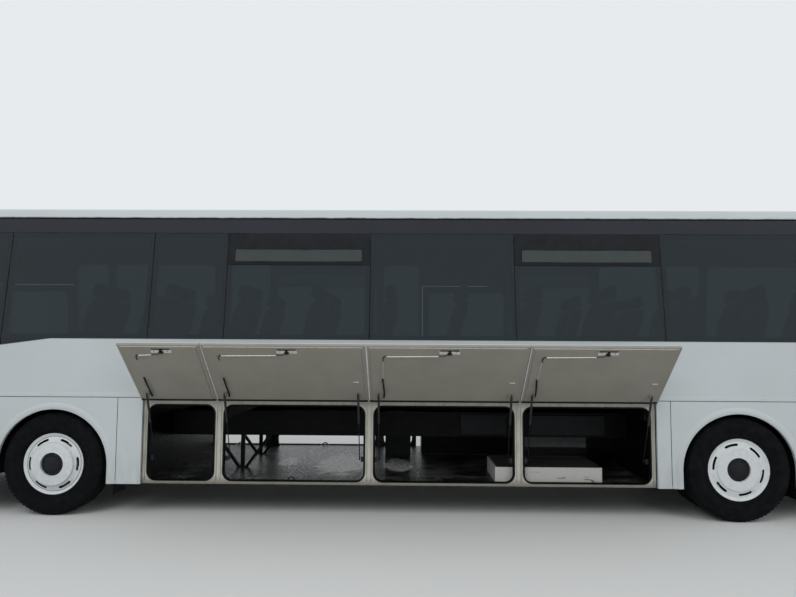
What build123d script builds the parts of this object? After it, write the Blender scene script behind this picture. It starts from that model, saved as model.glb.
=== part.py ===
from build123d import *
import math
import os

# Intercity coach, 12.8 m long, standing on its wheels. Millimetres.
# +X runs to the rear, -Y is the vehicle's left-hand side, +Z is up.
# The origin is on the ground, under the middle of the length with the mirrors.

# Overall
BODY_LENGTH = 12760.0
BODY_WIDTH = 2550.0
FRONT_OVERHANG = 2700.0
WHEELBASE = 6720.0
MIRROR_REACH = 180.0
HALF = BODY_WIDTH / 2
X_FRONT = -(BODY_LENGTH - MIRROR_REACH) / 2
X_REAR = X_FRONT + BODY_LENGTH
X_FRONT_AXLE = X_FRONT + FRONT_OVERHANG
X_REAR_AXLE = X_FRONT_AXLE + WHEELBASE

# Heights of the body section
SKIRT_BOTTOM = 318.0
HINGE_HEIGHT = 1160.0
BELT = 1740.0
ROOF_TOP = 3190.0
COVE_TOP = ROOF_TOP - 80
BAND_TOP = ROOF_TOP - 202
GLASS_TOP = ROOF_TOP - 367
COVE_INSET = 350.0
LEAN = math.tan(math.radians(6.9))

# Sheet and wall thicknesses
WALL = 45.0
SKIRT = 30.0
GLASS = 6.0
SHELL = 50.0
ROOF_SHELL = 40.0
SEAM = 4.0
JOINT_GAP = 8.0
FIT = 0.3

# Ends
MASK_DEPTH = 430.0
CAP_DEPTH = 320.0
NOSE_BOW = 90.0
NOSE_CORNER = 200.0
SCREEN_BASE = 1250.0
SCREEN_RAKE = 230.0
BUMPER_TOP = 700.0
BUMPER_STEP = 30.0
X_WALL_FRONT = X_FRONT + MASK_DEPTH
X_WALL_REAR = X_REAR - BUMPER_STEP - CAP_DEPTH

# Luggage hold: stations of the side flaps, from the front axle
HOLD_START = 884.0
REAR_CLEAR = 793.0
FIRST_BAYS = [752.0, 1487.0, 1470.0]
LEFT_BAYS = FIRST_BAYS + [WHEELBASE - HOLD_START - REAR_CLEAR - sum(FIRST_BAYS)]
RIGHT_BAYS = [752.0, 1487.0, 494.0]
HOLD_X0 = X_FRONT_AXLE + HOLD_START
HOLD_X1 = HOLD_X0 + sum(LEFT_BAYS)
FRAME_FACE = 45.0
FRAME_DEPTH = 40.0
SILL_TOP = 352.0
HOLE_TOP = 1080.0
HOLE_CORNER = 80.0
POST = 52.0
GROOVE = 7.0
GROOVE_DEPTH = 8.0
FRAME_TOP = 1200.0
HOLD_FLOOR_TOP = 343.0
HOLD_FLOOR = 25.0
DECK_BOTTOM = 1090.0
DECK_TOP = 1140.0
COVERING = 3.0

# Flaps
FLAP_THICK = 34.0
PAN_THICK = 40.0
FLAP_BOTTOM = 330.0
FLAP_OPEN = 131.0
FLAP_RIM = 36.0
HINGE_OUT = 6.0
HINGE_R = 4.0
RAIL_HEIGHT = 36.0
NARROW = 600.0

# Gas struts, as distances in the flap's own directions
STRUT_INSET = 98.0
STRUT_S = 140.0
STRUT_T = 64.0
STRUT_FOOT_IN = 110.0
STRUT_FOOT_Z = 560.0
TUBE_R = 11.0
TUBE_LENGTH = 300.0
ROD_R = 5.0
ROD_LENGTH = 430.0
STUD_R = 5.0
EYE_R = 11.0
EYE_WIDTH = 12.0
EAR_GAP = 14.0
EAR = 6.0
EAR_HALF = 25.0
FLANGE_START = 32.0

# Wheels
AXLE_Z = 500.0
TYRE_R = 500.0
TYRE_WIDTH = 290.0
BEAD_R = 290.0
RIM_R = 298.5
RIM_HALF = 115.0
FRONT_RECESS = 38.0
REAR_RECESS = 24.0
DUAL_SPACING = 330.0
HUB_HOLE_R = 114.0
ARCH_R = 548.0
ARCH_Z = 490.0
ARCH_LIP = 65.0
ARCH_PROUD = 12.0
KINGPIN_Y = 985.0
KINGPIN_R = 20.0
SPINDLE_R = 45.0

# Chassis
RAIL_Y = 445.0
RAIL_WIDTH = 80.0
RAIL_BOTTOM = 696.0
RAIL_TOP = 960.0

# Doors on the right-hand side
FRONT_DOOR = (X_WALL_FRONT + 60.0, X_WALL_FRONT + 1160.0)
MIDDLE_DOOR_AT = 82.0
MIDDLE_DOOR_WIDTH = 1200.0
MIDDLE_DOOR = (
    HOLD_X0 + sum(RIGHT_BAYS) + MIDDLE_DOOR_AT,
    HOLD_X0 + sum(RIGHT_BAYS) + MIDDLE_DOOR_AT + MIDDLE_DOOR_WIDTH,
)
DOOR_BOTTOM = 340.0
DOOR_TOP = ROOF_TOP - 690
DOOR_THICK = 40.0
DOOR_FRAME = 90.0
DOOR_PANES = ((DOOR_BOTTOM + 120, HINGE_HEIGHT + 20), (HINGE_HEIGHT + 80, DOOR_TOP - DOOR_FRAME))

# Window seams on the left side, from the front axle
SEAMS = [-568.0, 902.0, 1662.0, 3117.0, 4572.0, 6042.0, 7502.0, 8962.0]
WINDOW_END = 150.0
BELT_KNEE = -71.0
BELT_FALL = 0.134

os.makedirs("parts", exist_ok=True)


def save(name, *shapes):
    solids = []
    for shape in shapes:
        solids += shape.solids()
    export_step(Compound(solids), f"parts/{name}.step")


def largest(shape):
    """The one body left when cuts shave a chip off an edge."""
    return max(shape.solids(), key=lambda solid: solid.volume)


def at_x(x):
    return Plane.YZ.offset(x)


def at_y(y):
    return Plane.XZ.offset(-y)


def at_z(z):
    return Plane.XY.offset(z)


def parted(shape, *planes):
    """The pieces of a shape cut apart by each plane, face to face."""
    pieces = shape.solids()
    for plane in planes:
        halves = []
        for piece in pieces:
            halves += split(piece, bisect_by=plane, keep=Keep.BOTH).solids()
        pieces = halves
    return pieces


def polygon(*points):
    return make_face(Polyline(*points, close=True))


def extrude_x(sketch, x0, x1):
    return extrude(Plane.YZ.offset(x0) * sketch, amount=x1 - x0, dir=(1, 0, 0))


def extrude_y(sketch, y0, y1):
    return extrude(Plane.XZ.offset(-y0) * sketch, amount=y1 - y0, dir=(0, 1, 0))


def extrude_z(sketch, z0, z1):
    return extrude(Plane.XY.offset(z0) * sketch, amount=z1 - z0, dir=(0, 0, 1))


def block(x0, x1, y0, y1, z0, z1):
    centre = Pos((x0 + x1) / 2, (y0 + y1) / 2, (z0 + z1) / 2)
    return centre * Box(abs(x1 - x0), abs(y1 - y0), abs(z1 - z0))


def disc_y(x, z, radius, y0, y1):
    return extrude_y(Pos(x, z) * Circle(radius), min(y0, y1), max(y0, y1))


def disc_x(y, z, radius, x0, x1):
    return extrude_x(Pos(y, z) * Circle(radius), x0, x1)


def disc_z(x, y, radius, z0, z1):
    return extrude_z(Pos(x, y) * Circle(radius), z0, z1)


def rounded_hole_y(x0, x1, z0, z1, radius, y0, y1):
    sketch = Pos((x0 + x1) / 2, (z0 + z1) / 2) * RectangleRounded(x1 - x0, z1 - z0, radius)
    return extrude_y(sketch, y0, y1)


def left(shape):
    return mirror(shape, about=Plane.XZ)


def wall_y(z):
    return HALF - max(0.0, z - BELT) * LEAN


def section(inset):
    """The body's outline across, from the skirt's foot to the roof."""
    foot = HALF - inset
    shoulder = wall_y(BAND_TOP) - inset
    cove = HALF - COVE_INSET - inset
    cove_z = COVE_TOP - inset
    mid_y = (shoulder + cove) / 2 + 28
    mid_z = (BAND_TOP + cove_z) / 2 + 22
    crown_z = ROOF_TOP - inset
    crown = ThreePointArc((-cove, cove_z), (0, crown_z), (cove, cove_z))
    lines = [
        Line((-foot, 0), (-foot, BELT)),
        Line((-foot, BELT), (-shoulder, BAND_TOP)),
        ThreePointArc((-shoulder, BAND_TOP), (-mid_y, mid_z), (-cove, cove_z)),
        crown,
        ThreePointArc((cove, cove_z), (mid_y, mid_z), (shoulder, BAND_TOP)),
        Line((shoulder, BAND_TOP), (foot, BELT)),
        Line((foot, BELT), (foot, 0)),
        Line((foot, 0), (-foot, 0)),
    ]
    return make_face(Curve() + lines)


def plan(inset, nose, tail, bow, corner):
    """An end's outline from above: nose line at x = nose, open end at x = tail."""
    way = 1 if tail > nose else -1
    side = HALF + 20 - inset
    front = nose + way * inset
    y_corner = side - corner
    x_corner = front + way * bow
    x_side = x_corner + way * corner
    mid = corner * (1 - math.sqrt(0.5))
    lines = [
        ThreePointArc((x_corner, -y_corner), (front, 0), (x_corner, y_corner)),
        ThreePointArc((x_corner, y_corner), (x_corner + way * mid, side - mid), (x_side, side)),
        Line((x_side, side), (tail, side)),
        Line((tail, side), (tail, -side)),
        Line((tail, -side), (x_side, -side)),
        ThreePointArc((x_side, -side), (x_corner + way * mid, mid - side), (x_corner, -y_corner)),
    ]
    return make_face(Curve() + lines)


def end_solid(inset, nose, tail, bow, corner, rake):
    """One end of the body, cut across at x = tail, its face leaning back by rake."""
    way = 1 if tail > nose else -1
    far = tail + way * 10
    outline = plan(inset, nose, far, bow, corner)
    rise = ROOF_TOP + 60 - SCREEN_BASE
    volume = extrude_z(outline, 0, SCREEN_BASE)
    leaning = (way * rake, 0, rise)
    upper = Plane.XY.offset(SCREEN_BASE) * outline
    volume += extrude(upper, amount=math.hypot(rake, rise), dir=leaning)
    body = extrude_x(section(inset), min(nose - 50, tail), max(nose + 50, tail))
    return body & volume


def skin_strip(outer, inner, z0, z1, x0, x1):
    """A layer of the right-hand side wall between two depths."""
    points = [(wall_y(z) - outer, z) for z in (z0, max(z0, BELT), z1)]
    points += [(wall_y(z) - inner, z) for z in (z1, max(z0, BELT), z0)]
    unique = [p for i, p in enumerate(points) if p != points[i - 1]]
    return extrude_x(polygon(*unique), x0, x1)


# Side glazing

PANE_LEAST = 250.0
PILLAR = 45.0
PANE_CORNER = 60.0
KNEE_X = X_FRONT_AXLE + BELT_KNEE
GLASS_X0 = X_WALL_FRONT + SEAM
GLASS_X1 = X_WALL_REAR - WINDOW_END
SEAM_X = [X_FRONT_AXLE + s for s in SEAMS if X_FRONT_AXLE + s < GLASS_X1 - PANE_LEAST]


def belt_z(x):
    return BELT - max(0.0, KNEE_X - x) * BELT_FALL


def pane_outline(x0, x1, grow):
    a, b = x0 - grow, x1 + grow
    points = [(a, belt_z(a) - grow), (b, belt_z(b) - grow), (b, GLASS_TOP + grow), (a, GLASS_TOP + grow)]
    if a < KNEE_X < b:
        points.insert(1, (KNEE_X, BELT - grow))
    return polygon(*points)


def pane_spans(doors):
    """Pane stretches between seams, kept clear of the doors."""
    edges = [GLASS_X0] + SEAM_X + [GLASS_X1]
    spans = []
    for start, stop in zip(edges, edges[1:]):
        pieces = [(start + JOINT_GAP / 2, stop - JOINT_GAP / 2)]
        for door_a, door_b in doors:
            kept = []
            for p, q in pieces:
                if q <= door_a or p >= door_b:
                    kept.append((p, q))
                    continue
                kept += [(p, door_a), (door_b, q)]
            pieces = [(p, q) for p, q in kept if q - p > PANE_LEAST]
        spans += pieces
    return spans


def door_zone(door):
    return (door[0] - 2 * SEAM, door[1] + 2 * SEAM)


LEFT_PANES = pane_spans([])
RIGHT_PANES = pane_spans([door_zone(FRONT_DOOR), door_zone(MIDDLE_DOOR)])


def window_panes(spans):
    layer = skin_strip(0, GLASS, SCREEN_BASE, GLASS_TOP + 20, GLASS_X0 - 10, GLASS_X1 + 10)
    return [layer & extrude_y(pane_outline(a, b, 0), 0, HALF + 50) for a, b in spans]


def side_wall(spans, doors):
    wall = skin_strip(0, WALL, HINGE_HEIGHT + SEAM, BAND_TOP, X_WALL_FRONT, X_WALL_REAR)
    layer = skin_strip(-5, GLASS, SCREEN_BASE, GLASS_TOP + 20, X_WALL_FRONT - 10, GLASS_X1 + 10)
    for door in doors:
        a, b = door_zone(door)
        wall -= block(a, b, 0, HALF + 50, 0, DOOR_TOP + 2 * SEAM)
    wall -= layer & extrude_y(pane_outline(GLASS_X0, GLASS_X1, SEAM), 0, HALF + 50)
    for a, b in spans:
        low = max(belt_z(a), belt_z(b)) + PILLAR
        wall -= rounded_hole_y(a + PILLAR, b - PILLAR, low, GLASS_TOP - PILLAR, PANE_CORNER, 0, HALF + 50)
    return parted(wall, at_z(BELT + PILLAR), at_z(GLASS_TOP - PILLAR))


save("side_wall_left", *[left(piece) for piece in side_wall(LEFT_PANES, [])])
save("side_wall_right", *side_wall(RIGHT_PANES, [FRONT_DOOR, MIDDLE_DOOR]))

# Roof

ROOF_X0 = X_WALL_FRONT
ROOF_X1 = X_WALL_REAR
HATCH_HALF = 340.0
HATCH_HOLE = 300.0
HATCH_THICK = 30.0
HATCH_CORNER = 60.0
HATCH_X = (X_FRONT_AXLE + 1090, X_REAR_AXLE - 430)
HATCH_Z = ROOF_TOP + 6
PIN_R = 3.5
PIN_HALF = 250.0

above_band = block(ROOF_X0, ROOF_X1, -HALF, HALF, BAND_TOP, ROOF_TOP + 50)
roof = extrude_x(section(0), ROOF_X0, ROOF_X1) & above_band
roof -= extrude_x(section(ROOF_SHELL), ROOF_X0 - 10, ROOF_X1 + 10)
for hatch_x in HATCH_X:
    roof += block(
        hatch_x - HATCH_HALF, hatch_x + HATCH_HALF, -HATCH_HALF, HATCH_HALF, ROOF_TOP - ROOF_SHELL, HATCH_Z
    )
    leaf_x = hatch_x - HATCH_HALF - HINGE_R
    roof += block(
        leaf_x - PIN_R, hatch_x - HATCH_HALF, -PIN_HALF, PIN_HALF, ROOF_TOP - ROOF_SHELL / 2, HATCH_Z - 1
    )
    roof += disc_y(leaf_x, HATCH_Z, PIN_R, -PIN_HALF, PIN_HALF)
for hatch_x in HATCH_X:
    roof -= block(
        hatch_x - HATCH_HOLE, hatch_x + HATCH_HOLE, -HATCH_HOLE, HATCH_HOLE, COVE_TOP - 100, ROOF_TOP + 100
    )
cove_y = HALF - COVE_INSET
roof_pieces = []
for piece in parted(roof, at_y(-cove_y), at_y(cove_y), at_y(-HATCH_HALF), at_y(HATCH_HALF)):
    if abs(piece.center().Y) > HATCH_HALF:
        roof_pieces.append(piece)
        continue
    hole_edges = [hatch_x + way * HATCH_HOLE for hatch_x in HATCH_X for way in (-1, 1)]
    roof_pieces += parted(piece, *[at_x(x) for x in hole_edges])
save("roof", *roof_pieces)
HATCH_NAMES = ("roof_hatch_front", "roof_hatch_rear")
for name, hatch_x in zip(HATCH_NAMES, HATCH_X):
    lid = block(
        hatch_x - HATCH_HALF, hatch_x + HATCH_HALF, -HATCH_HALF, HATCH_HALF,
        HATCH_Z + FIT, HATCH_Z + FIT + HATCH_THICK,
    )
    save(name, fillet(lid.edges().filter_by(Axis.Z), HATCH_CORNER))

# Both ends are made as left-hand halves and mirrored

LEFT_HALF = block(-BODY_LENGTH, BODY_LENGTH, -2 * HALF, 0, -100, 2 * ROOF_TOP)
END_DEPTH = 160.0
RECESS = GLASS + 2


def both(half):
    """A left-hand half joined to its mirror image."""
    return half + left(half)


def leaning_layer(outline, z0, z1, shift):
    """An outline pulled up along the lean of an end's upper face; shift is that lean per mm."""
    start = Plane.XY.offset(z0) * Pos((z0 - SCREEN_BASE) * shift, 0) * outline
    rise = z1 - z0
    return extrude(start, amount=math.hypot(rise, rise * shift), dir=(shift, 0, 1))


def end_strip(outer, inner, half, shape):
    """The part of an end's outline between two depths, no further out than half."""
    nose, tail, bow, corner = shape
    strip = plan(outer, nose, tail, bow, corner) - plan(inner, nose, tail, bow, corner)
    way = 1 if tail > nose else -1
    return strip & Pos(nose + way * END_DEPTH / 2, 0) * Rectangle(END_DEPTH + 100, 2 * half)


def corner_lamps(depth, inner, z0, z1, shape):
    """Left-hand lamp let into an end's corner, and the cut that it sits in."""
    nose, tail, bow, corner = shape
    zone = Pos(nose, -(inner + HALF) / 2) * Rectangle(900, HALF - inner)
    lamp = extrude_z((plan(0, *shape) - plan(depth, *shape)) & zone, z0, z1)
    wide = Pos(nose, -(inner + HALF + 60) / 2) * Rectangle(900, HALF + 60 - inner)
    cut = extrude_z((plan(-60, *shape) - plan(depth, *shape)) & wide, z0, z1)
    return lamp, cut


# Front end

SCREEN_HALF = HALF - 190
SCREEN_LOW = 1290.0
SCREEN_HIGH = ROOF_TOP - 390
SCREEN_EDGE = 60.0
LAMP_LOW = 730.0
LAMP_HIGH = 900.0
LAMP_INNER = HALF - 555
LAMP_DEPTH = 34.0
TOW_R = 20.0
TOW_Z = 480.0
FRONT_SHAPE = (X_FRONT, X_WALL_FRONT, NOSE_BOW, NOSE_CORNER)
FRONT_LEAN = SCREEN_RAKE / (ROOF_TOP + 60 - SCREEN_BASE)


def front(inset):
    return end_solid(inset, *FRONT_SHAPE, SCREEN_RAKE)


front_half = front(0) & LEFT_HALF
front_shell = front_half - front(SHELL)
SCREEN = (SCREEN_LOW, SCREEN_HIGH, FRONT_LEAN)
windscreen = leaning_layer(end_strip(0, RECESS, SCREEN_HALF, FRONT_SHAPE), *SCREEN)
screen_cut = leaning_layer(end_strip(-60, RECESS, SCREEN_HALF, FRONT_SHAPE), *SCREEN)
screen_hole = block(
    X_FRONT - 50, X_FRONT + 330, SCREEN_EDGE - SCREEN_HALF, SCREEN_HALF - SCREEN_EDGE,
    SCREEN_LOW + SCREEN_EDGE, SCREEN_HIGH - SCREEN_EDGE,
)
mask = front_shell & block(X_FRONT - 50, X_WALL_FRONT, -HALF, 0, BUMPER_TOP + SEAM, ROOF_TOP + 50)
head_lamp, lamp_cut = corner_lamps(LAMP_DEPTH, LAMP_INNER, LAMP_LOW, LAMP_HIGH, FRONT_SHAPE)
mask -= screen_cut
mask -= screen_hole
mask -= lamp_cut
screen_side = SCREEN_HALF - SCREEN_EDGE
mask_cuts = [at_z(SCREEN_LOW + SCREEN_EDGE), at_z(SCREEN_HIGH - SCREEN_EDGE)]
mask_cuts += [at_y(y) for y in (-screen_side, -screen_side / 2, screen_side / 2, screen_side)]
mask_cuts.append(at_x(X_FRONT + NOSE_BOW + NOSE_CORNER))
save("front_mask", *parted(both(largest(mask)), *mask_cuts))
save("windscreen", windscreen)

bumper_front = front_shell & block(X_FRONT - 50, X_WALL_FRONT, -HALF, 0, SKIRT_BOTTOM - 40, BUMPER_TOP)
bumper_front -= disc_x(0, TOW_Z, TOW_R, X_FRONT - 50, X_FRONT + SHELL + 50)

# Rear end

CAP_NOSE = X_REAR - BUMPER_STEP
CAP_CORNER = 120.0
CAP_BOW = 20.0
CAP_RAKE = 60.0
LID_HALF = HALF - 395
LID_LOW = 760.0
LID_HIGH = 1500.0
LID_THICK = 40.0
LID_GAP = 5.0
REAR_GLASS_HALF = HALF - 375
REAR_GLASS_LOW = 1800.0
REAR_GLASS_HIGH = ROOF_TOP - 490
TAIL_LOW = 820.0
TAIL_HIGH = 1240.0
TAIL_INNER = HALF - 325
REAR_SHAPE = (CAP_NOSE, X_WALL_REAR, CAP_BOW, CAP_CORNER)
REAR_LEAN = -CAP_RAKE / (ROOF_TOP + 60 - SCREEN_BASE)


def rear(inset):
    return end_solid(inset, *REAR_SHAPE, CAP_RAKE)


rear_shell = (rear(0) & LEFT_HALF) - rear(SHELL)
cap = rear_shell & block(X_WALL_REAR, X_REAR + 50, -HALF, 0, BUMPER_TOP + SEAM, ROOF_TOP + 50)
glass_strip = end_strip(0, RECESS, REAR_GLASS_HALF, REAR_SHAPE)
rear_window = leaning_layer(glass_strip, REAR_GLASS_LOW, REAR_GLASS_HIGH, REAR_LEAN)
cut_strip = end_strip(-60, RECESS, REAR_GLASS_HALF, REAR_SHAPE)
cap -= leaning_layer(cut_strip, REAR_GLASS_LOW, REAR_GLASS_HIGH, REAR_LEAN)
cap -= block(
    CAP_NOSE - END_DEPTH, X_REAR + 50, SCREEN_EDGE - REAR_GLASS_HALF, REAR_GLASS_HALF - SCREEN_EDGE,
    REAR_GLASS_LOW + SCREEN_EDGE, REAR_GLASS_HIGH - SCREEN_EDGE,
)
tail_lamp, tail_cut = corner_lamps(LAMP_DEPTH, TAIL_INNER, TAIL_LOW, TAIL_HIGH, REAR_SHAPE)
cap -= tail_cut
cap -= block(
    CAP_NOSE - END_DEPTH, X_REAR + 50, -LID_HALF - LID_GAP, LID_HALF + LID_GAP,
    LID_LOW - LID_GAP, LID_HIGH + LID_GAP,
)
cap = both(largest(cap))
LID_X = CAP_NOSE - CAP_BOW / 2
LID_PIVOT_X = LID_X + HINGE_OUT
LID_PIVOT_Z = LID_HIGH + HINGE_R
cap += disc_y(LID_PIVOT_X, LID_PIVOT_Z, HINGE_R, -LID_HALF, LID_HALF)
cap += block(LID_X - 12, LID_PIVOT_X, -LID_HALF, LID_HALF, LID_PIVOT_Z + 1, LID_PIVOT_Z + 8)
save("rear_cap", cap)
engine_lid = block(LID_X - LID_THICK, LID_X, -LID_HALF, LID_HALF, LID_LOW, LID_HIGH)
engine_lid += block(
    LID_X - 1, LID_PIVOT_X + 2, -LID_HALF, LID_HALF, LID_HIGH - 8, LID_PIVOT_Z - HINGE_R - FIT
)
LID_SLATS = 9
LID_RIM = 80.0
SLAT_STEP = (LID_HIGH - LID_LOW - 2 * LID_RIM) / LID_SLATS
for number in range(LID_SLATS):
    z = LID_LOW + LID_RIM + (number + 0.25) * SLAT_STEP
    engine_lid -= block(LID_X - 14, LID_X + 10, LID_RIM - LID_HALF, LID_HALF - LID_RIM, z, z + SLAT_STEP / 2)
save("engine_lid", engine_lid)
save("lamps", head_lamp, left(head_lamp), tail_lamp, left(tail_lamp))

BUMPER_SHAPE = (X_REAR, X_WALL_REAR, CAP_BOW, CAP_CORNER)
bumper_rear = extrude_z(plan(0, *BUMPER_SHAPE), SKIRT_BOTTOM, BUMPER_TOP)
bumper_rear -= extrude_z(plan(SHELL, X_REAR, X_WALL_REAR - 10, CAP_BOW, CAP_CORNER), 0, BUMPER_TOP + 10)
bumper_rear &= block(X_WALL_REAR, X_REAR + 50, -HALF, HALF, 0, BUMPER_TOP)
bumper_rear -= disc_x(0, TOW_Z, TOW_R, X_REAR - SHELL - 50, X_REAR + 50)
bumper_cuts = [at_y(side * LAMP_INNER / share) for side in (-1, 1) for share in (1, 3)]
front_pieces = parted(both(bumper_front), *bumper_cuts, at_x(X_FRONT + NOSE_BOW + NOSE_CORNER))
save("bumpers", *front_pieces, *parted(bumper_rear, at_y(-LAMP_INNER), at_y(LAMP_INNER)))

# Skirts with wheel arches


def arch_sketch(x, radius):
    return Pos(x, ARCH_Z) * Circle(radius) + Pos(x, ARCH_Z / 2) * Rectangle(2 * radius, ARCH_Z)


def arch_flare(x):
    """The rolled lip round a wheel arch, straight below the wheel's middle."""
    inner, outer = ARCH_R, ARCH_R + ARCH_LIP
    lip = (inner, HALF + ARCH_PROUD / 2)
    profile = make_face(Curve() + [
        Line((inner, HALF - SKIRT), lip),
        ThreePointArc(lip, (inner + ARCH_LIP * 0.4, HALF + ARCH_PROUD), (outer, HALF)),
        Line((outer, HALF), (outer, HALF - SKIRT)),
        Line((outer, HALF - SKIRT), (inner, HALF - SKIRT)),
    ])
    bow = revolve(profile, Axis((0, 0, 0), (0, -1, 0)), 180)
    leg = extrude(profile, amount=ARCH_Z - SKIRT_BOTTOM, dir=(0, 0, -1))
    return Pos(x, 0, ARCH_Z) * (bow + leg + mirror(leg, about=Plane.YZ))


def skirt_panel(x0, x1, axle_x=None):
    panel = block(x0, x1, HALF - SKIRT, HALF, SKIRT_BOTTOM, HINGE_HEIGHT)
    if axle_x is None:
        return panel
    return panel - extrude_y(arch_sketch(axle_x, ARCH_R), 0, HALF + 100) + arch_flare(axle_x)


PANEL_SEAM_FRONT = HOLD_X0 - 247.0
PANEL_SEAM_REAR = HOLD_X1 + 141.0
left_skirts = [
    skirt_panel(X_WALL_FRONT + SEAM, PANEL_SEAM_FRONT - SEAM, X_FRONT_AXLE),
    skirt_panel(PANEL_SEAM_FRONT, HOLD_X0 - SEAM),
    skirt_panel(HOLD_X1 + SEAM, PANEL_SEAM_REAR - SEAM),
    skirt_panel(PANEL_SEAM_REAR, X_WALL_REAR - SEAM, X_REAR_AXLE),
]
right_skirts = [
    skirt_panel(X_WALL_FRONT + SEAM, door_zone(FRONT_DOOR)[0]),
    skirt_panel(door_zone(FRONT_DOOR)[1], PANEL_SEAM_FRONT - SEAM, X_FRONT_AXLE),
    skirt_panel(PANEL_SEAM_FRONT, HOLD_X0 - SEAM),
    skirt_panel(door_zone(MIDDLE_DOOR)[1], PANEL_SEAM_REAR - SEAM),
    skirt_panel(PANEL_SEAM_REAR, X_WALL_REAR - SEAM, X_REAR_AXLE),
]
save("skirts_left", *[left(panel) for panel in left_skirts])
save("skirts_right", *right_skirts)

# Hold frames, hinge rails, flaps and gas struts, made on the right-hand side

HINGE_Y = HALF + HINGE_OUT


def stations(bays):
    edges = [HOLD_X0]
    for width in bays:
        edges.append(edges[-1] + width)
    return list(zip(edges, edges[1:]))


def hinge_rail(x0, x1):
    rail = block(x0, x1, HALF, HALF + 2, HINGE_HEIGHT + HINGE_R, HINGE_HEIGHT + HINGE_R + RAIL_HEIGHT)
    rail += block(x0, x1, HALF, HINGE_Y, HINGE_HEIGHT + HINGE_R - 2, HINGE_HEIGHT + HINGE_R + 2)
    return rail + disc_x(HINGE_Y, HINGE_HEIGHT, HINGE_R, x0, x1)


def post(x0, x1, y0, y1):
    """An upright with the grooves of its folded sheet."""
    upright = block(x0, x1, y0, y1, SILL_TOP, HOLE_TOP)
    width = x1 - x0
    shares = (0.3, 0.7) if width > POST + SKIRT else (0.5,)
    for share in shares:
        x = x0 + share * width - GROOVE / 2
        upright -= block(x, x + GROOVE, y1 - GROOVE_DEPTH, y1 + 1, SILL_TOP - 1, HOLE_TOP + 1)
    return upright


def gusset(x, z, way_x, way_z, y0, y1):
    """What rounds one corner of an opening."""
    corner = block(x, x + way_x * HOLE_CORNER, y0, y1, z, z + way_z * HOLE_CORNER)
    return corner - disc_y(x + way_x * HOLE_CORNER, z + way_z * HOLE_CORNER, HOLE_CORNER, y0 - 5, y1 + 5)


def hold_frame(bays):
    """Header, sill, uprights, corners, hinge rails and strut feet, each against the next."""
    y1 = HALF - FRAME_FACE
    y0 = y1 - FRAME_DEPTH
    spans = stations(bays)
    x0, x1 = spans[0][0] - SEAM, spans[-1][1]
    pieces = [block(x0, x1, y0, y1, HOLE_TOP, FRAME_TOP), block(x0, x1, y0, y1, SKIRT_BOTTOM, SILL_TOP)]
    holes = [(a + POST, b - POST) for a, b in spans]
    starts = [x0] + [b for a, b in holes]
    stops = [a for a, b in holes] + [x1]
    pieces += [post(start, stop, y0, y1) for start, stop in zip(starts, stops)]
    for a, b in holes:
        for x, way_x in ((a, 1), (b, -1)):
            pieces.append(gusset(x, SILL_TOP, way_x, 1, y0, y1))
            pieces.append(gusset(x, HOLE_TOP, way_x, -1, y0, y1))
    pieces += [hinge_rail(a + SEAM, b - SEAM) for a, b in spans]
    for index, (a, b) in enumerate(spans):
        for x, side in strut_places(index, a, b):
            pieces += strut_foot(x, side)
    return pieces


def strut_places(index, a, b):
    """Strut stations of one flap: the first flap has one strut, the narrow one none."""
    if b - a < NARROW:
        return []
    if index == 0:
        return [(a + STRUT_INSET, -1)]
    return [(a + STRUT_INSET, -1), (b - STRUT_INSET, 1)]


def strut_foot(x, side):
    """An ear with the stud, on a flange behind the upright; the stud ends at the rod's eye."""
    y = HALF - STRUT_FOOT_IN
    inner = HALF - FRAME_FACE - FRAME_DEPTH
    low, high = STRUT_FOOT_Z - EAR_HALF, STRUT_FOOT_Z + EAR_HALF
    near = x + side * EAR_GAP
    flange = block(x + side * (STRUT_INSET - FLANGE_START), near, inner - EAR, inner, low, high)
    ear = block(near, near + side * EAR, y - 4 * STUD_R, inner - EAR, low, high)
    x0, x1 = sorted((near, x + side * (EYE_WIDTH / 2 + FIT)))
    return [flange, ear + disc_x(y, STRUT_FOOT_Z, STUD_R, x0, x1)]


def flap_point(s, t, angle):
    """A point of the flap at s down its face and t inward from the hinge line, opened by angle."""
    a = math.radians(angle)
    return (
        HINGE_Y + s * math.sin(a) - t * math.cos(a),
        HINGE_HEIGHT - s * math.cos(a) - t * math.sin(a),
    )


def flap(index, a, b):
    """A closed flap: skin and rim, raised inner pan, hinge lip and the struts' studs."""
    x0, x1 = a + SEAM, b - SEAM
    top = HINGE_HEIGHT - HINGE_OUT
    panel = block(x0, x1, HALF - FLAP_THICK, HALF, FLAP_BOTTOM, top)
    panel += block(
        x0 + FLAP_RIM, x1 - FLAP_RIM, HALF - PAN_THICK, HALF, FLAP_BOTTOM + FLAP_RIM, top - FLAP_RIM
    )
    panel += block(x0, x1, HALF - FIT, HINGE_Y + 2, top - 6, HINGE_HEIGHT - HINGE_R - FIT)
    return [panel] + [strut_bracket(x, side) for x, side in strut_places(index, a, b)]


def strut_bracket(x, side):
    """The stud that the tube's eye turns on, on a plate that stands on the pan."""
    y, z = flap_point(STRUT_S, STRUT_T, 0)
    near = x - side * EAR_GAP
    plate = block(near, near - side * EAR, y - EAR_GAP, HALF - PAN_THICK, z - EAR_HALF, z + EAR_HALF)
    x0, x1 = sorted((near, x + side * EYE_WIDTH / 2))
    return plate + disc_x(y, z, STUD_R, x0, x1)


def opened(shape):
    """The flap swung up about its hinge line by the angle that it is held at."""
    hinge = Axis((0, HINGE_Y, HINGE_HEIGHT), (1, 0, 0))
    return shape.rotate(hinge, FLAP_OPEN)


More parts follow.
